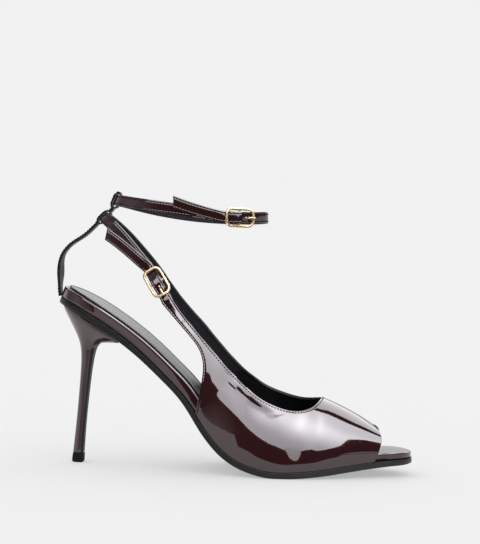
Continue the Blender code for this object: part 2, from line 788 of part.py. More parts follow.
# Buckles: x runs along the strap to the prong's tip, y across it and z out, from the end bars
BUCKLE_LONG = 18.2
BUCKLE_WIDE = 11.8
BUCKLE_CORNER = 3.2
FRAME_RADIUS = 0.95
BAR_RADIUS = 0.7
BUCKLE_BOW = 1.2
PRONG_RADIUS = 0.6
PRONG_TIP = 0.7
CORNER_STEPS = 5
TUBE_SIDES = 8
SLING_BUCKLE_AT = 53.5
SLING_BUCKLE_Y = -28.7
ANKLE_BUCKLE_AT = 49.0
ANKLE_BUCKLE_OUT = 1.1
PRONG = ((0.6, 2.3), (3.0, 2.0), (6.0, 1.9), (8.2, 1.9), (9.6, 1.7))


def tube_loops(points, radii, closed):
    """Rings of a tube through points that lie near one plane."""
    loops = []
    count = len(points)
    for i, point in enumerate(points):
        before = points[i - 1] if closed or i > 0 else point
        after = points[(i + 1) % count] if closed or i < count - 1 else point
        along = (after - before).normalized()
        side = along.cross(Vector((0.0, 0.0, 1.0))).normalized()
        up = side.cross(along)
        ring = []
        for k in range(TUBE_SIDES):
            turn = 2.0 * math.pi * (k + 0.5) / TUBE_SIDES
            ring.append(point + (side * math.cos(turn) + up * math.sin(turn)) * radii[i])
        loops.append([corner * MM for corner in ring])
    return loops


def frame_points():
    """The frame's centre line, a rounded rectangle that bows in towards its centre bar."""
    long, wide = 0.5 * BUCKLE_LONG - FRAME_RADIUS, 0.5 * BUCKLE_WIDE - FRAME_RADIUS
    corner = BUCKLE_CORNER - FRAME_RADIUS
    flat = []
    for quarter, (sx, sy) in enumerate(((1, 1), (-1, 1), (-1, -1), (1, -1))):
        for i in range(CORNER_STEPS + 1):
            turn = 0.5 * math.pi * (quarter + i / CORNER_STEPS)
            x = sx * (long - corner) + corner * math.cos(turn)
            y = sy * (wide - corner) + corner * math.sin(turn)
            flat.append((x, y))
        if quarter in (0, 2):
            flat.append((0.0, sy * wide))
    return [Vector((x, y, BUCKLE_BOW * ((x / long) ** 2 - 1.0))) for x, y in flat]


def buckle_frame(name, place):
    points = frame_points()
    loops = tube_loops(points, [FRAME_RADIUS] * len(points), True)
    bm = bmesh.new()
    add_grid(bm, loops + loops[:1], True)
    bmesh.ops.remove_doubles(bm, verts=bm.verts, dist=MERGE)
    frame = add_object(name, bm, GOLD)
    reach = 0.5 * BUCKLE_WIDE - FRAME_RADIUS
    ends = [Vector((0.0, sign * reach, -BUCKLE_BOW)) for sign in (-1.0, 1.0)]
    bar = add_object(name + "_bar", loft(tube_loops(ends, [BAR_RADIUS] * 2, False)), GOLD)
    bar.hide_render = True
    bar.display_type = "WIRE"
    join = frame.modifiers.new("centre_bar", "BOOLEAN")
    join.operation = "UNION"
    join.object = bar
    for piece in (frame, bar):
        piece.matrix_local = place


def buckle_prong(name, place):
    points = [Vector((x, 0.0, z)) for x, z in PRONG]
    radii = [PRONG_RADIUS] * (len(points) - 1) + [PRONG_TIP * PRONG_RADIUS]
    prong = add_object(name, loft(tube_loops(points, radii, False)), GOLD)
    prong.matrix_local = place


def buckle_place(centre, along, across):
    """The matrix that sets a buckle's axes on a strap."""
    along = along.normalized()
    across = (across - along * across.dot(along)).normalized()
    out = along.cross(across)
    turn = Matrix((along, across, out)).transposed()
    return Matrix.Translation(world(*centre)) @ turn.to_4x4()


def make_buckles():
    near, far = LATERAL_STRAP[1], LATERAL_STRAP[3]
    along = sling_point(*near[:3]) - sling_point(*far[:3])
    centre = sling_point(SLING_BUCKLE_AT, SLING_BUCKLE_Y, 0.0)
    sling = buckle_place(centre, along, sling_across(LATERAL, LATERAL_STRAP[2][3]))
    row = ANKLE_COLUMNS(*ANKLE_TABLE.at(ANKLE_BUCKLE_AT))
    centre = ankle_point(ANKLE_BUCKLE_AT, ANKLE_BUCKLE_OUT, row.z)
    reach = 10.0
    ahead = ankle_point(ANKLE_BUCKLE_AT - reach, 0.0, row.z)
    behind = ankle_point(ANKLE_BUCKLE_AT + reach, 0.0, row.z)
    ankle = buckle_place(centre, ahead - behind, Vector((0.0, 0.0, 1.0)))
    for name, place in (("sling", sling), ("ankle", ankle)):
        buckle_frame(name + "_buckle", place)
        buckle_prong(name + "_prong", place)


make_outsole()
make_insole()
make_sock()
make_heel()
make_top_piece()
make_upper()
make_sling()
make_back_tab()
make_ankle_strap()
make_buckles()
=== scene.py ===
import math
from collections import namedtuple

import bmesh
import bpy
import numpy
from mathutils import Matrix, Vector

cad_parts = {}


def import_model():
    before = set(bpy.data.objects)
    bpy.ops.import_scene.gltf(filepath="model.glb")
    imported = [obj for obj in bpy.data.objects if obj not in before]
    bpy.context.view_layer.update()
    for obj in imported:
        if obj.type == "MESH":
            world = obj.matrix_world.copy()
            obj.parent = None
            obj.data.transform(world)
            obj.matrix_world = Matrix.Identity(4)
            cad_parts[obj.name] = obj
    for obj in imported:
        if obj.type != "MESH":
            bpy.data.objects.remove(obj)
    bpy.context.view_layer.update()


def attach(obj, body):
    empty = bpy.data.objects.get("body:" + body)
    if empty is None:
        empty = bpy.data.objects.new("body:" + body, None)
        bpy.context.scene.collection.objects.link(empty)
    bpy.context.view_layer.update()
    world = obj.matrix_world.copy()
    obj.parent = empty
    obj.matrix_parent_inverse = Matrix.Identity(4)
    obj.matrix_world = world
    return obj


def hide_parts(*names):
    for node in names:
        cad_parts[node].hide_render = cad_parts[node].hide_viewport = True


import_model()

# Outsole
# The black bottom of the shoe, moulded in one piece with a rounded lower edge and a fine groove under
# its top edge. It is glued under the lasted upper and climbs from the ball to the heel seat.
MM = 0.001
BALL_X = 142.0
MERGE = 0.03 * MM
SHARP_EDGE = math.radians(50.0)


class Curve:
    """Natural cubic spline through rows of numbers, with one key for each row."""

    def __init__(self, keys, rows):
        self.keys = numpy.array(keys, dtype=float)
        self.rows = numpy.array(rows, dtype=float)
        count = len(self.keys)
        step = numpy.diff(self.keys)
        slope = numpy.diff(self.rows, axis=0) / step[:, None]
        matrix = numpy.eye(count)
        right = numpy.zeros_like(self.rows)
        for i in range(1, count - 1):
            matrix[i, i - 1:i + 2] = step[i - 1], 2.0 * (step[i - 1] + step[i]), step[i]
            right[i] = 6.0 * (slope[i] - slope[i - 1])
        self.bend = numpy.linalg.solve(matrix, right)

    def at(self, key):
        key = min(max(key, self.keys[0]), self.keys[-1])
        i = min(int(numpy.searchsorted(self.keys, key, side="right")) - 1, len(self.keys) - 2)
        step = self.keys[i + 1] - self.keys[i]
        b = (key - self.keys[i]) / step
        a = 1.0 - b
        straight = a * self.rows[i] + b * self.rows[i + 1]
        bent = (a ** 3 - a) * self.bend[i] + (b ** 3 - b) * self.bend[i + 1]
        return straight + bent * step ** 2 / 6.0


class Table:
    """A short table with named columns, read between its rows by a Curve."""

    def __init__(self, columns, rows):
        names = columns.split()
        self.row_type = namedtuple("Row", names[1:])
        self.curve = Curve([row[0] for row in rows], [row[1:] for row in rows])

    def at(self, key):
        return self.row_type(*self.curve.at(key))


class Shade:
    """A socket of a finish. Arithmetic on it adds Math nodes."""

    def __init__(self, finish, socket):
        self.finish = finish
        self.socket = socket

    def math(self, operation, first, second):
        return self.finish.node("ShaderNodeMath", {"operation": operation}, {0: first, 1: second})

    def __add__(self, other):
        return self.math("ADD", self, other)

    def __mul__(self, other):
        return self.math("MULTIPLY", self, other)

    __radd__ = __add__
    __rmul__ = __mul__


class Finish:
    """A material with its nodes."""

    def __init__(self, name):
        self.material = bpy.data.materials.new(name)
        self.material.use_nodes = True
        self.tree = self.material.node_tree
        self.shader = self.tree.nodes["Principled BSDF"]
        self.place = self.node("ShaderNodeTexCoord", {}, {}, "Object")

    def node(self, kind, settings, inputs, output=0):
        made = self.tree.nodes.new(kind)
        for name, value in settings.items():
            setattr(made, name, value)
        for name, value in inputs.items():
            self.feed(made.inputs[name], value)
        return Shade(self, made.outputs[output])

    def feed(self, socket, value):
        if isinstance(value, Shade):
            self.tree.links.new(value.socket, socket)
        else:
            socket.default_value = value

    def noise(self, size, detail=2.0):
        """Soft noise between 0 and 1 with blotches about size millimetres across."""
        inputs = {"Vector": self.place, "Scale": 1.0 / (size * MM), "Detail": detail}
        return self.node("ShaderNodeTexNoise", {}, inputs)

    def cells(self, size):
        """Distance from the nearest of scattered points about size millimetres apart."""
        inputs = {"Vector": self.place, "Scale": 1.0 / (size * MM)}
        return self.node("ShaderNodeTexVoronoi", {}, inputs)

    def ramp(self, axis, low, high):
        """0 to 1 between two places in metres along an axis of the object."""
        place = self.node("ShaderNodeSeparateXYZ", {}, {0: self.place}, axis)
        inputs = {"Value": place, "From Min": low, "From Max": high}
        return self.node("ShaderNodeMapRange", {}, inputs)

    def blend(self, factor, first, second):
        inputs = {0: factor, 6: (*first, 1.0), 7: (*second, 1.0)}
        return self.node("ShaderNodeMix", {"data_type": "RGBA"}, inputs, 2)

    def bump(self, height, depth):
        """A normal from a height between 0 and 1 that stands for depth millimetres."""
        inputs = {"Height": height, "Distance": depth * MM, "Strength": 1.0}
        return self.node("ShaderNodeBump", {}, inputs)

    def shade(self, sockets):
        for name, value in sockets.items():
            self.feed(self.shader.inputs[name], value)
        return self.material


def world(x, y, z):
    """Table millimetres to the model's metres."""
    return Vector(((x - BALL_X) * MM, y * MM, z * MM))


def smooth_step(value, low, high):
    part = min(max((value - low) / (high - low), 0.0), 1.0)
    return part * part * (3.0 - 2.0 * part)


def stations(start, end, count):
    """Places from start to end, closer together towards both ends."""
    turns = [math.pi * (i + 0.5) / count for i in range(count)]
    return [start + (end - start) * (1.0 - math.cos(turn)) / 2.0 for turn in turns]


def lay_grid(bm, points):
    """Adds a grid of quads over rows of table points and returns its corners."""
    columns, rows = len(points) - 1, len(points[0]) - 1
    made = bmesh.ops.create_grid(bm, x_segments=columns, y_segments=rows, size=0.5)["verts"]
    for vert in made:
        column = round((vert.co.x + 0.5) * columns)
        row = round((vert.co.y + 0.5) * rows)
        vert.co = world(*points[column][row])
    return made


def loft(loops):
    """A closed body through loops of table points, capped at both ends."""
    bm = bmesh.new()
    lay_grid(bm, [list(loop) + [loop[0]] for loop in loops])
    bmesh.ops.remove_doubles(bm, verts=bm.verts, dist=MERGE)
    bmesh.ops.holes_fill(bm, edges=bm.edges, sides=0)
    bmesh.ops.recalc_face_normals(bm, faces=bm.faces)
    return bm


def add_object(name, bm, finishes):
    mesh = bpy.data.meshes.new(name)
    bm.to_mesh(mesh)
    bm.free()
    for finish in finishes:
        mesh.materials.append(finish)
    made = bpy.data.objects.new(name, mesh)
    bpy.context.collection.objects.link(made)
    return made


def add_piece(name, bm, finishes, replaced):
    piece = add_object(name, bm, finishes)
    piece.data.shade_smooth()
    piece.data.set_sharp_from_angle(angle=SHARP_EDGE)
    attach(piece, "root")
    if replaced:
        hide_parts(*replaced)
    return piece


# tread is the top of the outsole, and half the half width of the insole about centre
SOLE = Table(
    "x tread outsole insole centre half",
    (
        (-4.0, 104.8, 4.0, 6.6, 0.0, 22.6),
        (12.0, 98.1, 4.0, 6.6, 0.0, 22.8),
        (25.0, 91.0, 4.1, 6.6, -0.2, 22.8),
        (40.0, 81.3, 3.9, 6.7, -0.7, 22.2),
        (55.0, 69.6, 3.6, 7.0, -1.5, 21.0),
        (70.0, 55.9, 3.4, 7.2, -2.3, 20.2),
        (80.0, 46.0, 3.4, 7.2, -2.7, 20.6),
        (85.0, 39.9, 3.5, 7.0, -2.9, 21.4),
        (90.0, 33.0, 3.6, 6.8, -3.0, 22.5),
        (97.0, 23.8, 3.7, 6.4, -3.2, 24.5),
        (104.5, 16.0, 3.8, 6.0, -3.2, 27.0),
        (112.0, 10.7, 3.9, 5.6, -2.9, 29.7),
        (122.0, 6.6, 4.0, 5.2, -2.0, 33.0),
        (134.0, 4.0, 4.0, 4.8, -0.5, 35.3),
        (150.0, 4.0, 4.0, 4.5, 1.3, 35.3),
        (165.0, 5.3, 4.0, 4.5, 2.7, 32.3),
        (180.0, 7.4, 4.0, 4.5, 3.7, 27.3),
        (196.0, 9.4, 3.9, 4.6, 4.3, 20.5),
        (210.0, 10.6, 3.7, 4.4, 4.4, 14.6),
        (223.0, 11.3, 3.5, 3.0, 4.5, 10.0),
    ),
)
HEEL_ROUND = 24.0
TOE_ROUND = 10.0
TOE_SQUARE = 2.2
TOE_X = 220.8
END_ROUND = 6.0
EDGE_PART = 0.25
SLOPE_REACH = 0.5
SOLVE_STEPS = 6
GAP = 0.3
WALL = 1.6
WELT = WALL + 2.0 * GAP
UPPER_BACK = (84.0, 96.0)
UPPER_FRONT = (202.0, 207.0)


def sole_edges(x, start, end, grow):
    """The lateral and medial y of a sole layer that runs from start to end."""
    row = SOLE.at(x)
    half = row.half + grow
    back = min((x - start) / HEEL_ROUND, 1.0)
    half *= math.sqrt(1.0 - (1.0 - back) ** 2)
    front = min((end - x) / TOE_ROUND, 1.0)
    half *= (1.0 - (1.0 - front) ** TOE_SQUARE) ** (1.0 / TOE_SQUARE)
    return row.centre - half, row.centre + half


def sole_place(x, height):
    """x and z of a point square off the tread, height above it."""
    rise = SOLE.at(x + SLOPE_REACH).tread - SOLE.at(x - SLOPE_REACH).tread
    slope = rise / (2.0 * SLOPE_REACH)
    steep = math.sqrt(1.0 + slope * slope)
    return x - height * slope / steep, SOLE.at(x).tread + height / steep


def outsole_bottom(x):
    """Height of the outsole's underside above the floor at x."""
    foot = x
    for i in range(SOLVE_STEPS):
        foot += x - sole_place(foot, -SOLE.at(foot).outsole)[0]
    return sole_place(foot, -SOLE.at(foot).outsole)[1]


def end_pull(x, start, end):
    """1 at the back end of a layer and -1 at its front end, to round the edges there."""
    back = max(1.0 - (x - start) / END_ROUND, 0.0)
    front = max(1.0 - (end - x) / END_ROUND, 0.0)
    return back ** 2 - front ** 2


def sole_loop(x, edges, low, high, profile, pull):
    """A loop across a layer: profile has (inset, part of the height) from the bottom edge up."""
    lateral, medial = edges
    widest = max(inset for inset, part in profile)
    shrink = min(1.0, EDGE_PART * (medial - lateral) / widest)
    right, left = [], []
    for inset, part in profile:
        along, z = sole_place(x + inset * shrink * pull, low + part * (high - low))
        z = max(z, 0.0)
        right.append((along, medial - inset * shrink, z))
        left.append((along, lateral + inset * shrink, z))
    return right + left[::-1]


OUTSOLE_START, OUTSOLE_END, OUTSOLE_STATIONS = 0.4, TOE_X + 0.4, 150
OUTSOLE_SLIM = -0.3
OUTSOLE_PROFILE = (
    (6.0, 0.0), (2.6, 0.0), (1.6, 0.04), (0.9, 0.14), (0.4, 0.32), (0.12, 0.52), (0.0, 0.7),
    (0.0, 0.79), (0.25, 0.83), (0.25, 0.88), (0.0, 0.92), (0.1, 1.0), (3.0, 1.0),
)

rubber = Finish("sole_rubber")
speckle = rubber.noise(0.7, 3.0)
scuff = rubber.noise(14.0, 3.0)
forefoot = rubber.ramp("X", -0.04, 0.02)
black_sole = rubber.shade({
    "Base Color": rubber.blend(forefoot + 0.2 * scuff, (0.008, 0.008, 0.008), (0.028, 0.027, 0.028)),
    "Roughness": 0.36 + 0.2 * scuff,
    "Normal": rubber.bump(speckle, 0.03),
    "IOR": 1.3,
})
loops = []
for x in stations(OUTSOLE_START, OUTSOLE_END, OUTSOLE_STATIONS):
    grow = OUTSOLE_SLIM + (WELT - OUTSOLE_SLIM) * smooth_step(x, *UPPER_BACK)
    edges = sole_edges(x, OUTSOLE_START, OUTSOLE_END, grow)
    pull = end_pull(x, OUTSOLE_START, OUTSOLE_END)
    loops.append(sole_loop(x, edges, -SOLE.at(x).outsole, 0.0, OUTSOLE_PROFILE, pull))
add_piece("outsole_rubber", loft(loops), [black_sole], ["outsole"])

# Insole
# A stiff shaped board wrapped in the same patent leather as the upper. Its edge shows as a deep band
# from the heel to the waist and again in the open toe, and it is glued to the outsole.
INSOLE_STATIONS = 140
INSOLE_PROFILE = (
    (5.0, 0.0), (1.5, 0.0), (0.9, 0.04), (0.62, 0.12), (0.4, 0.3), (0.2, 0.5), (0.05, 0.68),
    (0.0, 0.8), (0.06, 0.88), (0.22, 0.94), (0.5, 0.98), (1.0, 1.0), (5.0, 1.0),
)
DARK_WINE, DEEP_WINE = (0.026, 0.0075, 0.0085), (0.040, 0.0125, 0.0135)
PATENT_WAVES = 0.35


def patent_finish(name):
    """Lacquered leather: a dark wine ground under a clear gloss whose mirror images waver."""
    finish = Finish(name)
    tone = finish.noise(22.0, 2.0)
    swell = finish.noise(26.0, 1.0)
    grain = finish.noise(1.1, 2.0)
    return finish.shade({
        "Base Color": finish.blend(tone, DARK_WINE, DEEP_WINE),
        "Roughness": 0.035 + 0.04 * grain,
        "Normal": finish.bump(swell + 0.012 * grain, PATENT_WAVES),
        "IOR": 1.75,
    })


patent = patent_finish("patent_leather")
loops = []
for x in stations(0.0, TOE_X, INSOLE_STATIONS):
    grow = WALL * smooth_step(x, *UPPER_FRONT)
    edges = sole_edges(x, 0.0, TOE_X, grow)
    top = GAP + SOLE.at(x).insole
    loops.append(sole_loop(x, edges, GAP, top, INSOLE_PROFILE, end_pull(x, 0.0, TOE_X)))
add_piece("insole_wrap", loft(loops), [patent], ["insole"])

# Sock
# The thin black footbed that covers the insole, cut from smooth satin leather with a fine raised bead
# along its turned edge. It is glued down, and any name on it is left off.
SOCK_START, SOCK_END, SOCK_STATIONS = 2.4, 194.0, 130
SOCK_INSET, SOCK_THICK, SOCK_GAP = -1.6, 1.0, 0.4
SOCK_PROFILE = (
    (0.6, 0.0), (0.12, 0.1), (0.0, 0.45), (0.1, 0.8), (0.35, 1.0), (0.65, 0.98), (0.9, 0.72),
    (1.2, 0.62), (2.0, 0.64), (6.0, 0.7),
)
satin = Finish("sock_satin")
pores = satin.cells(0.9)
cloud = satin.noise(16.0, 2.0)
sock_satin = satin.shade({
    "Base Color": satin.blend(cloud, (0.017, 0.017, 0.018), (0.03, 0.03, 0.032)),
    "Roughness": 0.26 + 0.1 * cloud,
    "Normal": satin.bump(pores, 0.006),
})
loops = []
for x in stations(SOCK_START, SOCK_END, SOCK_STATIONS):
    edges = sole_edges(x, SOCK_START, SOCK_END, SOCK_INSET)
    low = GAP + SOLE.at(x).insole + SOCK_GAP
    pull = end_pull(x, SOCK_START, SOCK_END)
    loops.append(sole_loop(x, edges, low, low + SOCK_THICK, SOCK_PROFILE, pull))
add_piece("sock_lining", loft(loops), [sock_satin], ["sock"])

# Heel
# A tall slim heel of hard plastic wrapped in patent, with a flared cup under the seat, a rounded back
# and a slightly hollow breast whose faces turned forward take the outsole's black finish in place of
# patent. It is screwed and glued up into the heel seat.
HEEL = Table(
    "level back_x back_z front_x front_z half",
    (
        (0, 10.6, 6.2, 17.3, 6.2, 3.8),
        (1, 12.0, 24.0, 18.0, 24.0, 3.8),
        (2, 13.1, 42.0, 19.2, 42.0, 4.0),
        (3, 13.8, 59.0, 20.7, 59.0, 4.6),
        (4, 13.6, 68.8, 22.2, 69.0, 6.0),
        (5, 12.4, 75.2, 23.5, 72.7, 8.4),
        (6, 10.0, 81.0, 26.0, 74.8, 11.4),
        (7, 6.9, 87.0, 30.3, 75.7, 14.8),
        (8, 4.2, 92.0, 34.4, 76.0, 17.6),
        (9, 2.5, 95.6, 37.6, 76.1, 19.6),
        (10, 1.7, 97.6, 39.5, 76.2, 20.4),
    ),
)
HEEL_LEVELS = 70
HEEL_SEAT = 10
HEEL_WIDEST = 0.55
BREAST_TAPER = 0.14
BREAST_HOLLOW = 0.07
SEAT_GAP = 0.36
SECTION_STEPS = 22
BREAST_STEPS = 5
BREAST_FACING = 0.2


def d_section(half):
    """(part from back to front, y) round a section with a round back and a hollow breast."""
    side = []
    for i in range(1, SECTION_STEPS + 1):
        along = 1.0 - math.cos(0.5 * math.pi * i / SECTION_STEPS)
        if along < HEEL_WIDEST:
            across = math.sqrt(1.0 - (1.0 - along / HEEL_WIDEST) ** 2)
        else:
            across = 1.0 - BREAST_TAPER * ((along - HEEL_WIDEST) / (1.0 - HEEL_WIDEST)) ** 2
        side.append((along, half * across))
    edge = side[-1][1]
    breast = []
    for i in range(1, 2 * BREAST_STEPS):
        part = 1.0 - i / BREAST_STEPS
        breast.append((1.0 - BREAST_HOLLOW * (1.0 - part * part), edge * part))
    lateral = [(along, -y) for along, y in reversed(side)]
    return [(0.0, 0.0)] + side + breast + lateral


loops = []
for i in range(HEEL_LEVELS + 1):
    row = HEEL.at(HEEL_SEAT * i / HEEL_LEVELS)
    loop = []
    for along, y in d_section(row.half):
        x = row.back_x + along * (row.front_x - row.back_x)
        z = row.back_z + along * (row.front_z - row.back_z)
        if i == HEEL_LEVELS:
            z = outsole_bottom(x) - SEAT_GAP
        loop.append((x, y, z))
    loops.append(loop)
bm = loft(loops)
bm.normal_update()
# The breast's faces, those turned forward, take the outsole's black finish.
for face in bm.faces:
    face.material_index = 1 if face.normal.x > BREAST_FACING else 0
add_piece("heel_wrap", bm, [patent, black_sole], ["heel"])

# Heel tip
# A small block of hard black rubber that the heel stands on, with a worn lower edge and a pin that
# is driven up into the heel's stem.
TIP_SECTIONS = (
    (0.0, 10.7, 16.9, 3.4),
    (0.15, 10.4, 17.2, 3.7),
    (0.5, 10.2, 17.4, 3.9),
    (2.0, 10.1, 17.5, 4.0),
    (4.6, 10.4, 17.5, 4.0),
    (5.6, 10.5, 17.4, 3.9),
    (5.9, 10.8, 17.1, 3.6),
)
tip = Finish("tip_rubber")
wear = tip.noise(3.0, 3.0)
tip_rubber = tip.shade({
    "Base Color": tip.blend(wear, (0.004, 0.004, 0.004), (0.009, 0.009, 0.009)),
    "Roughness": 0.5 + 0.2 * wear,
    "Normal": tip.bump(tip.noise(0.5, 2.0), 0.03),
    "IOR": 1.2,
})
loops = []
for z, back, front, half in TIP_SECTIONS:
    loops.append([(back + along * (front - back), y, z) for along, y in d_section(half)])
add_piece("heel_tip", loft(loops), [tip_rubber], ["top_piece"])

# Upper with its straps
# Patent leather backed with black lining: a vamp that is open at the toe, with a wing on each side. The
# lateral wing runs on into the strap through the sling buckle, the medial wing into the sling strap.
LATERAL, MEDIAL = -1.0, 1.0
RIB_COLUMNS = namedtuple("Rib", "foot_x lateral_flare medial_flare crown_x crown_y crown_z belly")
WING_COLUMNS = namedtuple("WingRib", "foot_x foot_y foot_z flare top_x top_y top_z lean")
# Ribs run from the sole to the ridge. Behind the throat they would meet over the instep, and the topline
# cuts them off before that.
RIDGE = (
    (197.6, 26.0, 26.0, 196.5, 3.0, 30.4, 4.6),
    (191.0, 26.0, 26.0, 191.2, 3.0, 34.0, 2.4),
    (183.0, 25.0, 25.0, 183.0, 3.0, 38.4, 0.8),
    (174.0, 20.0, 20.0, 174.5, 2.8, 42.4, 0.0),
    (166.0, 13.5, 13.5, 167.5, 2.4, 45.2, 0.0),
    (160.5, 9.0, 9.0, 164.2, 2.0, 46.0, 0.0),
)
INSTEP = (
    (156.5, 7.0, 7.0, 162.8, 1.9, 46.3, 0.0),
    (152.5, 6.0, 6.0, 161.0, 1.8, 46.9, 0.0),
    (147.5, 5.5, 6.0, 157.5, 1.7, 48.4, 0.0),
    (141.0, 5.5, 7.5, 152.0, 1.7, 51.1, 0.0),
    (132.0, 7.0, 11.0, 144.3, 1.7, 57.0, 0.0),
    (120.5, 10.5, 15.5, 134.4, 1.7, 65.8, 0.0),
    (109.5, 15.5, 19.0, 130.0, 1.7, 75.0, 0.0),
    (98.5, 17.5, 21.0, 129.0, 1.7, 78.0, 0.0),
    (88.0, 15.0, 20.0, 130.5, 1.7, 77.0, 0.0),
)
INSTEP_SPREAD = 6.5
LATERAL_TOPLINE = (
    (164.2, 46.0),
    (163.2, 45.1),
    (160.4, 42.7),
    (156.0, 40.6),
    (149.5, 39.7),
    (140.5, 41.3),
    (129.4, 45.9),
    (121.4, 51.4),
    (115.8, 56.0),
    (111.0, 60.3),
)
LATERAL_WING = (
    (90.3, -28.9, 47.0, 0.0, 106.0, -26.1, 65.2, 17.0),
    (91.9, -28.6, 58.0, -8.0, 101.8, -25.8, 69.8, 17.0),
    (92.0, -27.6, 66.2, -11.0, 97.8, -25.6, 74.1, 16.0),
    (89.6, -27.1, 74.2, -12.0, 93.6, -25.7, 78.8, 15.0),
    (84.2, -27.6, 81.7, -13.0, 88.1, -26.2, 85.1, 15.0),
    (75.8, -28.5, 91.0, -12.0, 79.9, -27.2, 94.6, 13.0),
    (66.4, -29.5, 101.5, -8.5, 71.8, -28.5, 105.6, 8.5),
)
MEDIAL_TOPLINE = (
    (164.2, 46.0),
    (163.2, 45.7),
    (160.4, 44.9),
    (156.0, 44.2),
    (149.5, 44.4),
    (140.5, 46.4),
    (129.9, 50.2),
    (121.9, 55.1),
    (116.1, 59.5),
    (111.3, 63.8),
)
MEDIAL_WING = (
    (89.0, 23.4, 47.0, 13.0, 106.0, 23.6, 68.9, 17.0),
    (89.4, 25.4, 58.0, 2.0, 101.3, 24.4, 73.8, 18.0),
    (88.6, 26.8, 66.0, -7.0, 97.4, 25.2, 78.0, 18.0),
    (86.0, 27.6, 74.0, -11.0, 93.4, 26.0, 82.4, 17.0),
    (81.6, 28.2, 81.8, -11.0, 88.2, 26.8, 88.3, 15.0),
    (74.7, 28.8, 91.4, -9.0, 80.0, 27.7, 96.6, 11.0),
    (66.4, 29.5, 101.5, -8.5, 71.8, 28.5, 105.6, 8.5),
)
FOOT_GAP = 0.42
RIB_POINTS = 60
TOE_RIBS = 30
SOLE_RIBS = 100
BORDER_STEPS = 90
LEAD_IN = 3
LEAN_STEP = 0.01
CROWN_LEAN = 90.0
TOPLINE_STEPS = 24
BISECTIONS = 40
WING_STEPS = 6
THROAT = len(RIDGE) - 1
STRAP_WIDTH = 6.8
STRAP_THICK = 1.5
# The sling's along runs down and forward from the lower tunnel, its rise up and forward across the strap
LOWER_TUNNEL = Vector((25.35, 0.0, 153.1))
SLING_ALONG = Vector((0.693, 0.0, -0.721))
SLING_RISE = Vector((0.721, 0.0, 0.693))
SLING_COLUMNS = namedtuple("SlingRow", "along y rise lean")
SLING = (
    (65.3, 28.3, -2.7, 8.5),
    (54.0, 26.2, -1.4, 9.0),
    (43.0, 23.0, 0.3, 4.0),
    (31.0, 19.6, 1.2, 1.0),
    (19.0, 16.2, 1.6, 0.0),
    (9.5, 12.8, 1.2, 0.0),
    (3.6, 9.3, 0.6, 0.0),
    (0.6, 5.2, 0.1, 0.0),
    (-0.25, 0.0, 0.0, 0.0),
    (0.6, -5.2, 0.1, 0.0),
    (3.6, -9.2, 0.7, 0.0),
    (9.5, -12.5, 1.4, -3.0),
    (19.0, -15.6, 1.9, -4.0),
    (31.0, -18.7, 1.7, -4.0),
    (40.0, -20.4, 1.4, -2.0),
    (45.2, -21.5, 1.1, 1.0),
    (53.2, -25.7, 0.1, 5.0),
)
LATERAL_STRAP = (
    (64.4, -28.3, -2.5, 8.5),
    (61.8, -27.8, -1.7, 8.0),
    (53.5, -29.2, 0.0, 5.0),
    (45.2, -23.7, 1.3, 1.0),
    (38.0, -23.3, 0.6, -2.0),
    (28.0, -21.2, -0.8, -4.0),
    (18.0, -19.0, -2.6, -4.0),
    (10.6, -17.0, -4.5, -4.0),
)
SLING_STEPS = 6
TAIL_SLANT = 0.38
SLANT_REACH = 6.0
STRAP_CROWN = 0.08
JOIN_SKIP = 5.0
JOIN_AHEAD = 6
JOIN_STEPS = 4
# Rows of corners at these distances from a sheet's edges, and evenly between them
EDGE_ROWS = (
    0.0, 0.3, 0.6, 0.85, 1.1, 1.35, 1.6, 1.9, 2.3, 2.8, 3.3, 3.8, 4.3, 4.8, 5.3, 5.9, 6.6,
)
MIDDLE_ROWS = 18
NARROW = 15.2
# The row of corners that shows which way is in from an edge
INWARD_ROW = 4
# A turned edge is rolled over, and its stitches lie partly sunk in a channel this far in
STITCH_IN = 1.2
STITCH_SINK = 0.4
CHANNEL_DEEP = 0.13
CHANNEL_WIDE = 0.32
ROLL_DEEP = 0.2
ROLL_WIDE = 0.95
EDGE_STEP = 0.3
STITCH_PITCH = 1.9
stitches = []
# Soft troughs in the lateral side, each a line of points with its depth and its width above the line
CREASES = (
    (((110.2, -28.3, 54.0), (114.6, -30.4, 49.9), (119.4, -31.6, 46.3), (124.7, -31.8, 42.6),
      (129.5, -31.8, 39.9), (135.0, -31.8, 37.4)), 1.15, 2.3),
    (((106.0, -33.0, 31.0), (110.0, -34.8, 24.5), (116.0, -36.7, 17.0)), 0.1, 3.4),
)
CREASE_POINTS = 10
CREASE_STEP = 0.5
CREASE_FALL = 3.5
CREASE_TAPER = 0.7
EDGE_BEVEL = 0.28
EDGE_ANGLE = math.radians(55.0)


def sole_foot(side, x):
    """Where the upper meets the outsole's top at x."""
    row = SOLE.at(x)
    along, z = sole_place(x, FOOT_GAP)
    return along, row.centre + side * (row.half + WELT), z


def rib_arc(side, foot, flare, top, lean):
    """Four control points of a rib that leaves its foot flaring out and comes to its top leaning in."""
    foot, top = Vector(foot), Vector(top)
    lean, flare = math.radians(lean), math.radians(flare)
    rise = Vector((top.x - foot.x, 0.0, top.z - foot.z))
    up = rise.normalized()
    out = Vector((0.0, side, 0.0))
    leave = up * math.cos(flare) + out * math.sin(flare)
    arrive = up * math.cos(lean) - out * math.sin(lean)
    fullness = 1.0 / (3.0 * math.cos(0.25 * (lean + flare)) ** 2 * math.cos(0.5 * (lean - flare)))
    reach = abs(top.y - foot.y) * math.sin(lean) + rise.length * math.cos(lean)
    return foot, foot + leave * fullness * rise.length, top - arrive * fullness * reach, top


def on_arc(arc, b):
    a = 1.0 - b
    return a ** 3 * arc[0] + 3.0 * a * a * b * arc[1] + 3.0 * a * b * b * arc[2] + b ** 3 * arc[3]


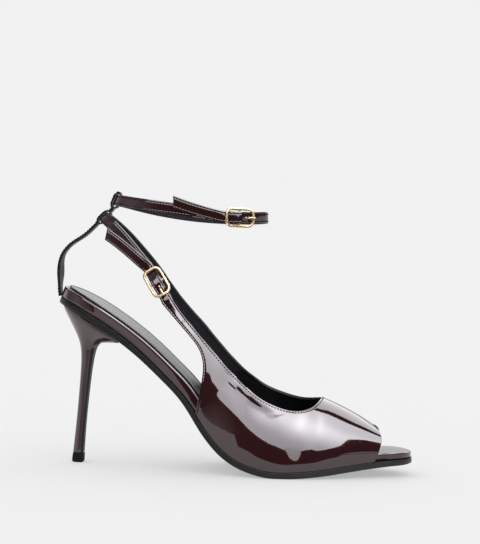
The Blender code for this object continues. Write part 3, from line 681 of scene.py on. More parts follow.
class Last:
    """The form one side of the front is shaped over: ribs from the sole to the ridge or over the instep,
    found by their place along the shoe and how far up they are."""

    def __init__(self, side, topline):
        self.side = side
        rows = RIDGE + INSTEP
        self.corner = len(rows) - 1
        self.line = Curve(range(len(rows)), rows)
        edge = Curve(range(len(topline)), topline)
        count = (len(topline) - 1) * TOPLINE_STEPS
        self.topline = [Vector(edge.at(i / TOPLINE_STEPS)) for i in range(count + 1)]
        toe = [(0.0, 1.0 - i / BORDER_STEPS) for i in range(BORDER_STEPS)]
        sole = [(self.corner * i / BORDER_STEPS, 0.0) for i in range(BORDER_STEPS + 1)]
        tops = [THROAT + (self.corner - THROAT) * (i / BORDER_STEPS) ** 2 for i in range(BORDER_STEPS + 1)]
        self.outer = self.border(toe + sole)
        self.inner = self.border([(top, self.cut(top)) for top in tops])

    def arc(self, place):
        rib = RIB_COLUMNS(*self.line.at(place))
        behind = max((place - THROAT) / (self.corner - THROAT), 0.0)
        crown = (rib.crown_x, rib.crown_y + self.side * INSTEP_SPREAD * behind ** 3, rib.crown_z)
        flare = rib.lateral_flare if self.side == LATERAL else rib.medial_flare
        return rib_arc(self.side, sole_foot(self.side, rib.foot_x), flare, crown, CROWN_LEAN), rib.belly

    def point(self, place, b):
        arc, belly = self.arc(place)
        return on_arc(arc, b) + Vector((belly * math.sin(math.pi * b) ** (1.0 + b), 0.0, 0.0))

    def cut(self, place):
        """How far up a rib its side view, a straight line, meets the topline."""
        if place <= THROAT:
            return 1.0
        arc = self.arc(place)[0]
        foot = Vector((arc[0].x, arc[0].z))
        up = Vector((arc[3].x, arc[3].z)) - foot
        square = Vector((-up.y, up.x))
        share = 1.0
        for near, far in zip(self.topline, self.topline[1:]):
            aside = (near - foot).dot(square), (far - foot).dot(square)
            if aside[0] <= 0.0 < aside[1]:
                met = near.lerp(far, aside[0] / (aside[0] - aside[1]))
                share = min((met - foot).dot(up) / up.length_squared, 1.0)
        low, high = 0.0, 1.0
        for i in range(BISECTIONS):
            b = 0.5 * (low + high)
            point = on_arc(arc, b)
            if (Vector((point.x, point.z)) - foot).dot(up) < share * up.length_squared:
                low = b
            else:
                high = b
        return high

    def border(self, places):
        """Shares of a border's length, with the place and height there."""
        lengths = run_length([self.point(*place) for place in places])
        place, height = zip(*places)
        return lengths / lengths[-1], place, height

    def shares(self):
        """Evenly spread shares of the borders, along the toe edge and then along the sole."""
        toe_corner = self.outer[0][BORDER_STEPS]
        toe = [toe_corner * i / TOE_RIBS for i in range(TOE_RIBS)]
        return toe + [toe_corner + (1.0 - toe_corner) * i / SOLE_RIBS for i in range(SOLE_RIBS + 1)]

    def rib(self, share):
        """A line from the toe edge or the sole in to the topline."""
        outer = numpy.array([numpy.interp(share, self.outer[0], self.outer[i]) for i in (1, 2)])
        inner = numpy.array([numpy.interp(share, self.inner[0], self.inner[i]) for i in (1, 2)])
        return [self.point(*(outer + (inner - outer) * i / (RIB_POINTS - 1))) for i in range(RIB_POINTS)]


def upper_ribs(side, topline, wing):
    """Ribs over one side of the upper, from the ridge round to the strap, each from foot to top."""
    last = Last(side, topline)
    rows = [last.rib(share) for share in last.shares()]
    back = [WING_COLUMNS(*row) for row in wing]
    tops = []
    for place in range(last.corner - LEAD_IN, last.corner + 1):
        share = last.cut(place)
        tip = last.point(place, share)
        lean = tip - last.point(place, share - LEAN_STEP)
        tops.append((*tip, math.degrees(math.asin(-side * lean.normalized().y))))
    tops += [(rib.top_x, rib.top_y, rib.top_z, rib.lean) for rib in back]
    front = RIB_COLUMNS(*INSTEP[-1])
    back_edge = [(*rows[-1][0], front.lateral_flare if side == LATERAL else front.medial_flare)]
    back_edge += [(rib.foot_x, rib.foot_y, rib.foot_z, rib.flare) for rib in back]
    back_line = Curve(range(len(back_edge)), back_edge)
    top_line = Curve(range(-LEAD_IN, len(back) + 1), tops)
    for i in range(1, len(back) * WING_STEPS + 1):
        place = i / WING_STEPS
        *foot, flare = back_line.at(place)
        *top, lean = top_line.at(place)
        arc = rib_arc(side, foot, flare, top, lean)
        rows.append([on_arc(arc, k / (RIB_POINTS - 1)) for k in range(RIB_POINTS)])
    return rows


def sling_point(along, y, rise):
    return LOWER_TUNNEL + SLING_ALONG * along + SLING_RISE * rise + Vector((0.0, y, 0.0))


def sling_across(y, lean):
    """Across the strap: square to the sling's plane, with its top leaning in over the foot."""
    side = Vector((0.0, math.copysign(1.0, y), 0.0))
    turn = math.radians(lean)
    return SLING_RISE * math.cos(turn) - side * math.sin(turn)


def sling_route(rows):
    line = Curve(range(len(rows)), rows)
    route = []
    for i in range((len(rows) - 1) * SLING_STEPS + 1):
        row = SLING_COLUMNS(*line.at(i / SLING_STEPS))
        route.append((sling_point(row.along, row.y, row.rise), sling_across(row.y, row.lean)))
    return route


def strap_ribs(route, outward, slant):
    """Ribs across a strap's outer face. slant moves the upper edge of its tail along the strap."""
    ribs = []
    last = len(route) - 1
    tail = route[last][0]
    for i, (centre, across) in enumerate(route):
        along = (route[min(i + 1, last)][0] - route[max(i - 1, 0)][0]).normalized()
        across = (across - along * across.dot(along)).normalized()
        out = along.cross(across) * outward
        near_end = 1.0 - smooth_step((tail - centre).length, 0.0, SLANT_REACH)
        rib = []
        for k in range(RIB_POINTS):
            part = 2.0 * k / (RIB_POINTS - 1) - 1.0
            wide = 0.5 * STRAP_WIDTH * part
            rise = 0.5 * STRAP_THICK + STRAP_CROWN * (1.0 - part * part)
            rib.append(centre + across * wide + out * rise + along * slant * near_end * wide)
        ribs.append(rib)
    return ribs


def joined_ribs(wing_ribs, ribs):
    """A wing's ribs run on smoothly into a strap's, over the short stretch where they meet."""
    end = wing_ribs[-1]
    mid = RIB_POINTS // 2
    start = next(i for i, rib in enumerate(ribs) if (rib[mid] - end[mid]).length > JOIN_SKIP)
    onward = ribs[start:]
    before = wing_ribs[-1 - WING_STEPS]
    keyed = [before, end] + onward[:JOIN_AHEAD]
    keys = [0.0]
    for near, far in zip(keyed, keyed[1:]):
        keys.append(keys[-1] + (far[mid] - near[mid]).length)
    bridge = Curve(keys, [[value for point in rib for value in point] for rib in keyed])
    made = []
    for i in range(1, JOIN_STEPS):
        flat = bridge.at(keys[1] + (keys[2] - keys[1]) * i / JOIN_STEPS)
        made.append([Vector(flat[3 * k:3 * k + 3]) for k in range(RIB_POINTS)])
    return wing_ribs + made + onward


def run_length(points):
    """Length along a line of points up to each of them."""
    steps = numpy.linalg.norm(numpy.diff(points, axis=0), axis=1)
    return numpy.concatenate(([0.0], numpy.cumsum(steps)))


def sheet_grid(ribs):
    """Ribs as an array, with corners set close together near both edges."""
    grid = []
    for rib in ribs:
        rib = numpy.array(rib)
        length = run_length(rib)
        near = [away * min(1.0, length[-1] / NARROW) for away in EDGE_ROWS]
        low, high = near[-1], length[-1] - near[-1]
        middle = [low + (high - low) * i / MIDDLE_ROWS for i in range(1, MIDDLE_ROWS)]
        places = near + middle + [length[-1] - away for away in reversed(near)]
        grid.append(numpy.stack([numpy.interp(places, length, rib[:, k]) for k in range(3)], axis=1))
    return numpy.array(grid)


def sheet_normals(grid, outward):
    square = numpy.cross(numpy.gradient(grid, axis=1), numpy.gradient(grid, axis=0)) * outward
    return square / numpy.linalg.norm(square, axis=2, keepdims=True)


def even_line(line, step):
    """A line of points resampled at even steps."""
    line = numpy.array(line)
    length = run_length(line)
    count = max(int(round(length[-1] / step)), 2)
    places = numpy.linspace(0.0, length[-1], count + 1)
    return numpy.stack([numpy.interp(places, length, line[:, k]) for k in range(line.shape[1])], axis=1)


def sew_edge(grid, outward, row, start):
    """Rolls one edge of a sheet over, presses a stitching channel along it, from the rib start on, and
    marks stitches."""
    normals = sheet_normals(grid, outward)
    edge = grid[start:, row].copy()
    inner = grid[start:, INWARD_ROW if row == 0 else -1 - INWARD_ROW]
    along = numpy.gradient(edge, axis=0)
    along /= numpy.linalg.norm(along, axis=1, keepdims=True)
    inward = inner - edge
    inward -= along * numpy.sum(inward * along, axis=1, keepdims=True)
    inward /= numpy.linalg.norm(inward, axis=1, keepdims=True)
    seam = edge + inward * STITCH_IN - normals[start:, row] * CHANNEL_DEEP * STITCH_SINK
    line = even_line(numpy.concatenate((seam, normals[start:, row]), axis=1), STITCH_PITCH)
    for near, far in zip(line, line[1:]):
        stitches.append((0.5 * (near[:3] + far[:3]), far[:3] - near[:3], near[3:] + far[3:]))
    fine = even_line(edge, EDGE_STEP)
    for rib, normal in zip(grid, normals):
        away = numpy.min(numpy.linalg.norm(rib[:, None] - fine[None], axis=2), axis=1)
        press = CHANNEL_DEEP * numpy.exp(-((away - STITCH_IN) / CHANNEL_WIDE) ** 2)
        press += ROLL_DEEP * numpy.maximum(1.0 - away / ROLL_WIDE, 0.0) ** 2
        rib -= normal * press[:, None]


def press_crease(grid, outward, line, deep, wide):
    """Presses a soft trough into a sheet along a line, deepest in its middle and fading to its ends.
    It is steep above the line and falls away gently below it."""
    normals = sheet_normals(grid, outward)
    keyed = Curve(range(len(line)), line)
    count = CREASE_POINTS * (len(line) - 1)
    points = even_line([keyed.at(i / CREASE_POINTS) for i in range(count + 1)], CREASE_STEP)
    fade = numpy.sin(numpy.linspace(0.0, math.pi, len(points))) ** CREASE_TAPER
    for rib, normal in zip(grid, normals):
        away = numpy.linalg.norm(rib[:, None] - points[None], axis=2)
        below = numpy.arange(len(rib)) < numpy.argmin(numpy.min(away, axis=1))
        reach = numpy.where(below, CREASE_FALL * wide, wide)
        press = deep * numpy.max(fade * numpy.exp(-(away / reach[:, None]) ** 2), axis=1)
        rib -= normal * press[:, None]


def leather_sheet(name, grids, thick, finishes, replaced):
    """A piece of leather with its lining inside, from grids of points on its outer face."""
    bm = bmesh.new()
    for grid, outward in grids:
        lay_grid(bm, grid[:, ::-1] if outward > 0.0 else grid)
    bmesh.ops.remove_doubles(bm, verts=bm.verts, dist=MERGE)
    piece = add_piece(name, bm, finishes, replaced)
    wall = piece.modifiers.new("wall", "SOLIDIFY")
    wall.thickness = thick * MM
    wall.offset = -1.0
    wall.use_even_offset = True
    wall.material_offset = 1
    wall.material_offset_rim = 1
    turned = piece.modifiers.new("turned_edge", "BEVEL")
    turned.width = EDGE_BEVEL * MM
    turned.segments = 2
    turned.limit_method = "ANGLE"
    turned.angle_limit = EDGE_ANGLE
    return piece


backing = Finish("black_lining")
weave = backing.cells(0.6)
shadow = backing.noise(9.0, 2.0)
black_lining = backing.shade({
    "Base Color": backing.blend(shadow, (0.005, 0.005, 0.006), (0.012, 0.012, 0.014)),
    "Roughness": 0.36 + 0.14 * shadow,
    "Normal": backing.bump(weave, 0.04),
    "IOR": 1.27,
})
upper_patent = patent_finish("upper_patent")
lateral_ribs = upper_ribs(LATERAL, LATERAL_TOPLINE, LATERAL_WING)
medial_ribs = upper_ribs(MEDIAL, MEDIAL_TOPLINE, MEDIAL_WING)
lateral_strap = strap_ribs(sling_route(LATERAL_STRAP), LATERAL, TAIL_SLANT)
sling_strap = strap_ribs(sling_route(SLING), MEDIAL, 0.0)
lateral_grid = sheet_grid(joined_ribs(lateral_ribs, lateral_strap))
medial_grid = sheet_grid(joined_ribs(medial_ribs, sling_strap))
for line, deep, wide in CREASES:
    press_crease(lateral_grid, -LATERAL, line, deep, wide)
for grid, side in ((lateral_grid, LATERAL), (medial_grid, MEDIAL)):
    sew_edge(grid, -side, -1, 0)
    sew_edge(grid, -side, 0, TOE_RIBS + SOLE_RIBS)
upper_grids = [(lateral_grid, 1.0), (medial_grid, -1.0)]
upper_nodes = ["upper", "lateral_strap", "sling_strap"]
leather_sheet("upper_leather", upper_grids, STRAP_THICK, [upper_patent, black_lining], upper_nodes)

# Back tab
# A narrow strap of two layers, patent outside and lining inside, that rises from between insole and
# outsole at the back of the heel. The layers are sewn together but for two tunnels for the two straps.
UPPER_TUNNEL = Vector((32.65, 0.0, 163.6))
TAB_WIDTH = 8.0
TAB_LAYER = 0.9
TAB_STEPS = 6
TAB_SPLIT = 0.02
TUNNEL = 1.7
TAB_TWIST = 0.2
TWIST_STARTS = (109.0, 118.0)
TWIST_ENDS = (118.0, 131.0)
TAB_LINE = (
    (-0.15, 103.1),
    (-0.75, 106.6),
    (-0.95, 111.5),
    (-1.0, 118.4),
    (-0.8, 124.6),
    (0.5, 129.4),
    (3.1, 133.2),
    (6.8, 136.7),
    (12.4, 140.5),
    (17.0, 144.5),
    (20.7, 148.4),
    (25.35, 153.1),
    (29.4, 157.2),
    (31.0, 159.6),
    (32.65, 163.6),
    (34.1, 167.8),
    (34.5, 169.0),
)
TUNNELS = ((LOWER_TUNNEL, 5.0), (UPPER_TUNNEL, 5.0))
TUNNEL_SQUARE = 6.0


def tunnel_opening(place):
    """Half the space between the tab's layers at a point on its line."""
    for centre, reach in TUNNELS:
        away = (place - centre).length / reach
        if away < 1.0:
            return TAB_SPLIT + TUNNEL * (1.0 - away ** TUNNEL_SQUARE)
    return TAB_SPLIT


def tab_twist(z):
    return TAB_TWIST * smooth_step(z, *TWIST_STARTS) * (1.0 - smooth_step(z, *TWIST_ENDS))


def tab_ribs(layer):
    """Ribs across the outer face of the tab's outer layer (1) or inner layer (-1)."""
    line = Curve(range(len(TAB_LINE)), TAB_LINE)
    count = (len(TAB_LINE) - 1) * TAB_STEPS
    places = [Vector((x, 0.0, z)) for x, z in (line.at(i / TAB_STEPS) for i in range(count + 1))]
    ribs = []
    for i, place in enumerate(places):
        along = (places[min(i + 1, count)] - places[max(i - 1, 0)]).normalized()
        square = Vector((-along.z, 0.0, along.x))
        face = place + square * layer * (tunnel_opening(place) + TAB_LAYER)
        rib = []
        for k in range(RIB_POINTS):
            y = TAB_WIDTH * (k / (RIB_POINTS - 1) - 0.5)
            rib.append(face + Vector((tab_twist(face.z) * y, y, 0.0)))
        ribs.append(rib)
    return ribs


tab_outer = sheet_grid(tab_ribs(1.0))
tab_inner = sheet_grid(tab_ribs(-1.0))
for row in (0, -1):
    sew_edge(tab_outer, -1.0, row, 0)
tab_grids = [(tab_outer, -1.0), (tab_inner, 1.0)]
tab = leather_sheet("back_tab_leather", tab_grids, TAB_LAYER, [upper_patent, black_lining], ["back_tab"])
faces = tab.data.polygons
for face in faces[len(faces) // 2:]:
    face.material_index = 1

# Ankle strap
# A long strap of patent backed with lining, threaded through the tab's upper tunnel. It closes round
# the ankle in a buckle on the lateral side, and its slanted tail runs back free above itself.
ANKLE_CENTRE_X = 79.6
ANKLE_LONG = ANKLE_CENTRE_X - UPPER_TUNNEL.x
ANKLE_WIDE = 23.5
ANKLE_COLUMNS = namedtuple("AnkleRow", "out z lean")
# turn runs from the front over the lateral side, the back and the medial side
ANKLE_TURNS = (
    (49.0, -1.95, 155.2, 4.0),
    (60.0, -3.0, 155.7, 4.0),
    (75.0, -2.1, 157.0, 1.0),
    (92.0, -1.4, 158.6, 1.0),
    (112.0, -0.9, 160.2, 4.0),
    (132.0, -0.4, 161.7, 8.0),
    (156.0, 0.0, 163.2, 15.0),
    (180.0, 0.34, 163.6, 19.0),
    (204.0, 0.0, 162.8, 15.0),
    (236.0, 0.0, 159.2, 9.0),
    (270.0, 0.0, 155.8, 5.0),
    (315.0, 0.0, 155.0, 4.0),
    (360.0, 0.0, 155.9, 3.0),
    (382.0, 0.0, 155.8, 3.0),
    (396.0, -0.8, 155.4, 4.0),
    (409.0, 1.75, 155.2, 4.0),
    (421.0, -0.9, 155.3, 4.0),
    (435.0, 0.2, 157.3, 1.0),
    (450.0, 0.9, 160.5, 1.0),
    (461.0, 1.5, 163.4, 2.0),
)
ANKLE_TABLE = Curve([row[0] for row in ANKLE_TURNS], [row[1:] for row in ANKLE_TURNS])
ANKLE_STEP_TURN = 2.0
ANKLE_SLANT = 0.4


def ankle_outward(turn):
    angle = math.radians(turn)
    return Vector((ANKLE_WIDE * math.cos(angle), -ANKLE_LONG * math.sin(angle), 0.0)).normalized()


def ankle_point(turn, out, z):
    angle = math.radians(turn)
    oval = Vector((ANKLE_CENTRE_X + ANKLE_LONG * math.cos(angle), -ANKLE_WIDE * math.sin(angle), z))
    return oval + ankle_outward(turn) * out


ankle_start, ankle_end = ANKLE_TURNS[0][0], ANKLE_TURNS[-1][0]
ankle_count = round((ankle_end - ankle_start) / ANKLE_STEP_TURN)
ankle_route = []
for i in range(ankle_count + 1):
    turn = ankle_start + (ankle_end - ankle_start) * i / ankle_count
    row = ANKLE_COLUMNS(*ANKLE_TABLE.at(turn))
    lean = math.radians(row.lean)
    across = Vector((0.0, 0.0, math.cos(lean))) - ankle_outward(turn) * math.sin(lean)
    ankle_route.append((ankle_point(turn, row.out, row.z), across))
ankle_grid = sheet_grid(strap_ribs(ankle_route, LATERAL, ANKLE_SLANT))
for row in (0, -1):
    sew_edge(ankle_grid, 1.0, row, 0)
ankle_finishes = [upper_patent, black_lining]
leather_sheet("ankle_strap_leather", [(ankle_grid, 1.0)], STRAP_THICK, ankle_finishes, ["ankle_strap"])

# Buckles
# Two small cast frames with rounded corners, bowed towards a centre bar, and a prong that turns on the
# bar and lies on the far end. They are plated a pale gold and polished.
BUCKLE_LONG = 18.9
BUCKLE_WIDE = 12.1
BUCKLE_CORNER = 4.1
FRAME_RADIUS = 0.86
BAR_RADIUS = 0.7
BUCKLE_BOW = 1.2
CORNER_STEPS = 8
SIDE_STEPS = 8
TUBE_SIDES = 14
SLING_BUCKLE_AT = 53.5
SLING_BUCKLE_Y = -28.7
ANKLE_BUCKLE_AT = 49.0
ANKLE_BUCKLE_OUT = 1.1
ANKLE_BUCKLE_REACH = 10.0
PRONG = (
    (0.1, 0.2, 0.6), (2.4, 0.2, 0.62), (4.0, 0.5, 0.62), (5.0, 1.5, 0.62), (6.2, 2.0, 0.6), (8.2, 1.9, 0.56),
    (9.4, 1.75, 0.42),
)
PRONG_STEPS = 5

gold_plate = Finish("gold")
tarnish = gold_plate.noise(5.0, 2.0)
brushing = gold_plate.noise(0.35, 2.0)
gold = gold_plate.shade({
    "Base Color": gold_plate.blend(tarnish, (0.56, 0.4, 0.22), (0.7, 0.54, 0.33)),
    "Roughness": 0.3 + 0.14 * tarnish,
    "Metallic": 1.0,
    "Normal": gold_plate.bump(brushing, 0.006),
})


def tube_loops(points, radii, closed):
    """Rings of a tube through points that lie near one plane."""
    loops = []
    count = len(points)
    for i, point in enumerate(points):
        before = points[i - 1] if closed or i > 0 else point
        after = points[(i + 1) % count] if closed or i < count - 1 else point
        along = (after - before).normalized()
        side = along.cross(Vector((0.0, 0.0, 1.0))).normalized()
        up = side.cross(along)
        ring = []
        for k in range(TUBE_SIDES):
            turn = 2.0 * math.pi * (k + 0.5) / TUBE_SIDES
            ring.append(point + (side * math.cos(turn) + up * math.sin(turn)) * radii[i])
        loops.append(ring)
    return loops


def frame_points():
    """The frame's centre line, a rounded rectangle that bows in towards its centre bar."""
    long, wide = 0.5 * BUCKLE_LONG - FRAME_RADIUS, 0.5 * BUCKLE_WIDE - FRAME_RADIUS
    corner = BUCKLE_CORNER - FRAME_RADIUS
    flat = []
    for quarter, (sx, sy) in enumerate(((1, 1), (-1, 1), (-1, -1), (1, -1))):
        for i in range(CORNER_STEPS + 1):
            turn = 0.5 * math.pi * (quarter + i / CORNER_STEPS)
            x = sx * (long - corner) + corner * math.cos(turn)
            y = sy * (wide - corner) + corner * math.sin(turn)
            flat.append((x, y))
        if quarter in (0, 2):
            run = sx * (long - corner)
            flat += [(run * (1.0 - 2.0 * i / SIDE_STEPS), sy * wide) for i in range(1, SIDE_STEPS)]
    return [Vector((x, y, BUCKLE_BOW * ((x / long) ** 2 - 1.0))) for x, y in flat]


def buckle_place(centre, along, across):
    """The matrix that sets a buckle's axes on a strap: x to the prong's tip, y across and z out."""
    along = along.normalized()
    across = (across - along * across.dot(along)).normalized()
    turn = Matrix((along, across, along.cross(across))).transposed()
    return Matrix.Translation(centre) @ turn.to_4x4()


def placed(place, loops):
    return [[place @ point for point in loop] for loop in loops]


def add_buckle(name, place):
    outline = frame_points()
    ring = placed(place, tube_loops(outline, [FRAME_RADIUS] * len(outline), True))
    bm = bmesh.new()
    lay_grid(bm, [loop + loop[:1] for loop in ring + ring[:1]])
    reach = 0.5 * BUCKLE_WIDE - FRAME_RADIUS
    bar = [Vector((0.0, reach * sign, -BUCKLE_BOW)) for sign in (-1.0, 1.0)]
    bar_loops = placed(place, tube_loops(bar, [BAR_RADIUS] * 2, False))
    lay_grid(bm, [loop + loop[:1] for loop in bar_loops])
    bmesh.ops.remove_doubles(bm, verts=bm.verts, dist=MERGE)
    bmesh.ops.holes_fill(bm, edges=bm.edges, sides=0)
    bmesh.ops.recalc_face_normals(bm, faces=bm.faces)
    add_piece(name + "_buckle_frame", bm, [gold], [name + "_buckle"])
    line = Curve(range(len(PRONG)), PRONG)
    rows = [line.at(i / PRONG_STEPS) for i in range((len(PRONG) - 1) * PRONG_STEPS + 1)]
    points = [Vector((x, 0.0, z)) for x, z, radius in rows]
    radii = [radius for x, z, radius in rows]
    prong = loft(placed(place, tube_loops(points, radii, False)))
    add_piece(name + "_buckle_prong", prong, [gold], [name + "_prong"])


near, far = LATERAL_STRAP[1], LATERAL_STRAP[3]
along = sling_point(*near[:3]) - sling_point(*far[:3])
centre = sling_point(SLING_BUCKLE_AT, SLING_BUCKLE_Y, 0.0)
add_buckle("sling", buckle_place(centre, along, sling_across(LATERAL, LATERAL_STRAP[2][3])))
row = ANKLE_COLUMNS(*ANKLE_TABLE.at(ANKLE_BUCKLE_AT))
centre = ankle_point(ANKLE_BUCKLE_AT, ANKLE_BUCKLE_OUT, row.z)
front = ankle_point(ANKLE_BUCKLE_AT - ANKLE_BUCKLE_REACH, 0.0, row.z)
along = front - ankle_point(ANKLE_BUCKLE_AT + ANKLE_BUCKLE_REACH, 0.0, row.z)
add_buckle("ankle", buckle_place(centre, along, Vector((0.0, 0.0, 1.0))))

# Punched holes
# Small round holes in the straps for the prongs, not cut through but pressed in as shallow cups with a
# soft rim in the black lining finish. That black is partly the lining's colour and partly painted shade
# for the hole's depth. Most of the row shows below the sling buckle and inside both frames.
HOLE_RADIUS = 0.78
HOLE_RIM = 1.02
HOLE_LIFT = 0.05
HOLE_DEEP = 0.3
HOLE_RINGS = ((HOLE_RIM, -HOLE_LIFT), (HOLE_RADIUS, HOLE_LIFT), (0.0, HOLE_LIFT - HOLE_DEEP))
HOLE_SIDES = 14
STRAP_HOLES = ((74.4, -28.4, 98.4), (79.4, -27.6, 91.6), (60.2, -29.6, 117.0))
ANKLE_HOLES = ((102.8, -21.5, 156.0),)
bm = bmesh.new()
for grid, outward, spots in ((lateral_grid, -LATERAL, STRAP_HOLES), (ankle_grid, 1.0, ANKLE_HOLES)):
    normals = sheet_normals(grid, outward)
    middle = grid.shape[1] // 2
    for spot in spots:
        i = int(numpy.argmin(numpy.linalg.norm(grid[:, middle] - numpy.array(spot), axis=1)))
        centre, square = Vector(grid[i, middle]), Vector(normals[i, middle])
        along = Vector(grid[i + 1, middle] - grid[i - 1, middle]).normalized()
        across = square.cross(along)
        turns = [2.0 * math.pi * k / HOLE_SIDES for k in range(HOLE_SIDES + 1)]
        spokes = [along * math.cos(turn) + across * math.sin(turn) for turn in turns]
        rings = []
        for radius, lift in HOLE_RINGS:
            rings.append([centre + square * lift + spoke * radius for spoke in spokes])
        lay_grid(bm, rings)
bmesh.ops.remove_doubles(bm, verts=bm.verts, dist=MERGE)
bmesh.ops.recalc_face_normals(bm, faces=bm.faces)
# The cups' black is partly the lining's colour and partly painted shade inside the holes.
add_piece("punched_holes", bm, [black_lining], None)

# Stitching
# Black thread sewn by machine through leather and lining, in one row just inside every turned edge of
# the topline, the wings, the straps and the tab.
THREAD = 0.36
STITCH_LONG = 0.78
STITCH_BATCH = 40
THREAD_SIDES, THREAD_RINGS = 6, 4
thread = Finish("black_thread")
twist = thread.noise(0.4, 2.0)
black_thread = thread.shade({
    "Base Color": thread.blend(twist, (0.002, 0.002, 0.002), (0.01, 0.009, 0.009)),
    "Roughness": 0.6 + 0.2 * twist,
    "Normal": thread.bump(twist, 0.05),
    "IOR": 1.2,
})
bm = bmesh.new()
for start in range(0, len(stitches), STITCH_BATCH):
    batch = bmesh.new()
    for place, along, square in stitches[start:start + STITCH_BATCH]:
        along, square = Vector(along), Vector(square).normalized()
        half = 0.5 * along.length * STITCH_LONG
        along.normalize()
        turn = Matrix((along, square.cross(along).normalized(), square)).transposed()
        size = Matrix.Diagonal((half * MM, THREAD * MM, THREAD * MM, 1.0))
        matrix = Matrix.Translation(world(*place)) @ turn.to_4x4() @ size
        bmesh.ops.create_uvsphere(
            batch, u_segments=THREAD_SIDES, v_segments=THREAD_RINGS, radius=1.0, matrix=matrix
        )
    mesh = bpy.data.meshes.new("stitch_batch")
    batch.to_mesh(mesh)
    batch.free()
    bm.from_mesh(mesh)
    bpy.data.meshes.remove(mesh)
add_piece("stitching", bm, [black_thread], None)

# Studio
# A pale floor of the same tone as the background, in even light from all round. Panels that only mirror
# images see stand for the room: a large softbox in front of the toe, the dark room and table below it,
# and cards close by that only one part of the shoe mirrors.
PALE = 0.885
FLOOR_GLOW = 0.39
FLOOR_SIZE = 40.0
FAR_WALL, SOFTBOX_WALL = 4.0, 3.6
CARD_Y = -0.065
TABLE_Z = 0.0015
PANEL_STEPS = 24
PANEL_TINT = (1.0, 0.975, 1.03)
floor_finish = Finish("pale_floor")
mottle = floor_finish.noise(60.0, 2.0)
pale_floor = floor_finish.shade({
    "Base Color": floor_finish.blend(mottle, (0.555, 0.555, 0.555), (0.565, 0.565, 0.565)),
    "Roughness": 0.9,
    "Specular IOR Level": 0.0,
    "Emission Color": (FLOOR_GLOW, FLOOR_GLOW, FLOOR_GLOW, 1.0),
    "Emission Strength": 1.0,
})
bm = bmesh.new()
bmesh.ops.create_grid(bm, x_segments=1, y_segments=1, size=FLOOR_SIZE)
floor = add_object("floor", bm, [pale_floor])


def room_point(azimuth, elevation, radius):
    """A point on the room's wall. Azimuth 0 is towards the camera and 90 towards the toe."""
    a, e = math.radians(azimuth), math.radians(elevation)
    return Vector((math.sin(a) * math.cos(e), -math.cos(a) * math.cos(e), math.sin(e))) * radius


def mirror_panel(name, place, columns, levels=()):
    """A panel that only mirror images see, from columns of azimuth, low and high ends, and the strength
    at both ends unless levels gives it for all. place turns azimuth and end into a point."""
    glow = Finish(name)
    level = glow.node("ShaderNodeAttribute", {"attribute_name": "level"}, {}, 0)
    glow.shade({"Base Color": (0.0, 0.0, 0.0, 1.0), "Roughness": 1.0, "Specular IOR Level": 0.0})
    glow.shade({"Emission Color": level, "Emission Strength": 1.0})
    line = Curve(range(len(columns)), [(*column, *levels) for column in columns])
    bm = bmesh.new()
    bmesh.ops.create_grid(bm, x_segments=PANEL_STEPS, y_segments=PANEL_STEPS, size=0.5)
    layer = bm.verts.layers.float_color.new("level")
    for vert in bm.verts:
        across, up = vert.co.x + 0.5, vert.co.y + 0.5
        azimuth, low, high, low_level, high_level = line.at(across * (len(columns) - 1))
        strength = max(low_level + up * up * (high_level - low_level), 0.0)
        vert[layer] = (*(strength * part for part in PANEL_TINT), 1.0)
        vert.co = place(azimuth, low + up * (high - low))
    panel = add_object(name, bm, [glow.material])
    panel.visible_camera = False
    panel.visible_diffuse = False
    panel.visible_shadow = False


def far_wall(azimuth, elevation):
    return room_point(azimuth, elevation, FAR_WALL)


def softbox_wall(azimuth, elevation):
    return room_point(azimuth, elevation, SOFTBOX_WALL)


def card(x, z):
    return Vector((x, CARD_Y, z))


def table_top(azimuth, distance):
    a = math.radians(azimuth)
    return Vector((math.sin(a) * distance, -math.cos(a) * distance, TABLE_Z))


mirror_panel("panel_room_left", far_wall, (
    (-125.0, -3.0, 24.0, 1.4, 1.4),
    (-100.0, -3.0, 30.0, 0.3, 0.3),
    (-75.0, -3.0, 34.0, 0.5, 0.5),
    (-50.0, -3.0, 38.0, 0.35, 0.35),
    (-25.0, -3.0, 38.0, 0.0, 0.0),
    (0.0, -3.0, 30.0, 0.0, 0.0),
))
mirror_panel("panel_room_right", far_wall, (
    (0.0, -3.0, 30.0),
    (36.0, -3.0, 36.0),
    (56.0, 9.0, 50.0),
    (90.0, 9.0, 56.0),
    (122.0, 9.0, 56.0),
), (0.0, 0.0))
mirror_panel("panel_left_dark", far_wall, (
    (-150.0, 12.0, 78.0, 0.5, 0.5),
    (-90.0, 15.0, 78.0, 0.35, 0.35),
    (-42.0, 15.0, 70.0, 0.1, 0.1),
))
mirror_panel("panel_table_edge", table_top, (
    (-60.0, 0.45, 4.2, 0.42, 0.42),
    (-45.0, 0.45, 4.2, 0.34, 0.34),
    (-30.0, 0.45, 4.2, 0.0, 0.0),
    (0.0, 0.45, 4.2, 0.0, 0.0),
    (60.0, 0.45, 4.2, 0.0, 0.0),
))
mirror_panel("panel_table_dark", table_top, (
    (-34.0, 0.135, 0.46),
    (-14.0, 0.112, 0.46),
    (3.0, 0.085, 0.46),
    (20.0, 0.079, 0.46),
    (34.0, 0.092, 0.46),
    (44.0, 0.14, 0.46),
), (0.0, 0.0))
mirror_panel("panel_heel_card", card, (
    (-0.155, 0.0, 0.068, 0.34, 0.62),
    (-0.125, 0.0, 0.068, 0.34, 0.62),
    (-0.104, 0.0, 0.06, 0.6, 0.9),
    (-0.092, 0.0, 0.047, 0.9, 0.9),
    (-0.08, 0.0, 0.036, 0.9, 0.9),
))
mirror_panel("panel_waist_card", card, (
    (-0.135, 0.08, 0.1),
    (-0.11, 0.066, 0.086),
    (-0.094, 0.05, 0.073),
    (-0.084, 0.039, 0.063),
    (-0.079, 0.036, 0.058),
), (0.88, 0.88))
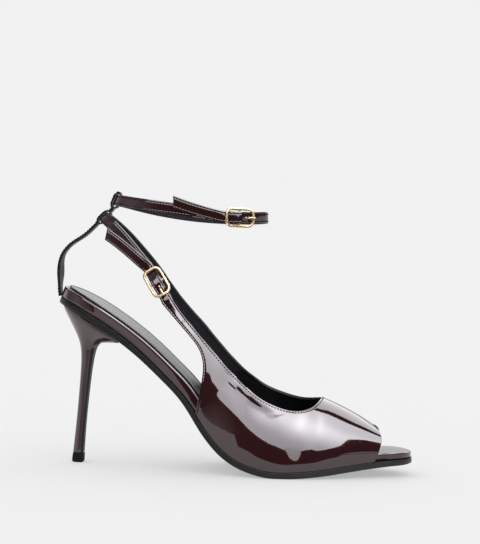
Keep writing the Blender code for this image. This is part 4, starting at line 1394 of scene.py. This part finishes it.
mirror_panel("panel_wing_card", card, (
    (-0.0475, 0.0725, 0.092, 4.8, 7.0),
    (-0.0455, 0.0672, 0.092, 4.8, 7.0),
    (-0.0425, 0.06, 0.092, 4.7, 7.0),
    (-0.0385, 0.0552, 0.092, 4.7, 7.0),
    (-0.033, 0.0535, 0.092, 4.7, 7.0),
    (-0.022, 0.0525, 0.092, 4.7, 7.0),
))
mirror_panel("panel_strap_card", card, (
    (-0.0625, 0.1045, 0.124),
    (-0.0575, 0.1015, 0.124),
    (-0.0535, 0.0985, 0.12),
    (-0.0475, 0.0942, 0.115),
    (-0.041, 0.092, 0.112),
    (-0.034, 0.092, 0.11),
    (-0.028, 0.092, 0.108),
), (9.0, 9.0))
mirror_panel("panel_softbox", softbox_wall, (
    (-44.0, 32.0, 60.0, 4.4, 4.0),
    (-28.0, 24.0, 60.0, 4.4, 4.2),
    (-12.0, 17.0, 59.0, 4.3, 4.6),
    (10.0, 12.5, 58.0, 3.8, 8.0),
    (26.0, 13.0, 58.0, 3.5, 13.5),
    (42.0, 23.0, 60.0, 6.0, 16.0),
    (60.0, 42.0, 66.0, 9.0, 14.0),
    (80.0, 47.0, 68.0, 6.8, 11.0),
    (100.0, 48.0, 69.0, 5.8, 9.0),
    (120.0, 46.0, 70.0, 5.4, 7.0),
))
mirror_panel("panel_drip_card", card, (
    (0.0096, 0.0225, 0.0285),
    (0.0111, 0.0165, 0.0285),
    (0.0135, 0.0125, 0.0285),
    (0.0175, 0.01, 0.0285),
    (0.021, 0.0105, 0.0285),
    (0.0236, 0.015, 0.0285),
    (0.0254, 0.0215, 0.0285),
), (2.5, 3.2))
mirror_panel("panel_toe_card", card, (
    (0.136, 0.0, 0.03),
    (0.19, 0.0, 0.03),
    (0.24, 0.0, 0.03),
), (0.0, 0.0))
mirror_panel("panel_gap", far_wall, (
    (116.5, 12.0, 72.0),
    (127.0, 12.0, 72.0),
    (137.0, 12.0, 72.0),
), (0.0, 0.0))
mirror_panel("panel_ceiling", softbox_wall, (
    (134.0, 20.0, 75.0, 3.6, 3.6),
    (169.0, 20.0, 75.0, 3.3, 3.3),
    (204.0, 20.0, 75.0, 3.0, 3.0),
))

room = bpy.data.worlds.new("room")
room.use_nodes = True
room.node_tree.nodes["Background"].inputs["Color"].default_value = (PALE, PALE, PALE, 1.0)
bpy.context.scene.world = room
bpy.context.scene.view_settings.view_transform = "Standard"

# Camera
# At the photo's angle: almost level with the shoe's middle, turned a little towards the toe, and rolled
# so that the toe sinks.
AIM = Vector((-0.031, 0.0, 0.1219))
YAW, PITCH, ROLL = math.radians(3.0), math.radians(0.9), math.radians(2.0)
DISTANCE = 0.9
LENS, SENSOR = 96.06, 36.0
back = Vector((math.sin(YAW) * math.cos(PITCH), -math.cos(YAW) * math.cos(PITCH), math.sin(PITCH)))
camera = bpy.data.objects.new("camera", bpy.data.cameras.new("camera"))
camera.data.sensor_fit = "VERTICAL"
camera.data.sensor_width = SENSOR
camera.data.sensor_height = SENSOR
camera.data.lens = LENS
camera.location = AIM + back * DISTANCE
facing = (-back).to_track_quat("-Z", "Y").to_matrix().to_4x4()
camera.rotation_euler = (facing @ Matrix.Rotation(ROLL, 4, "Z")).to_euler()
bpy.context.collection.objects.link(camera)
bpy.context.scene.camera = camera
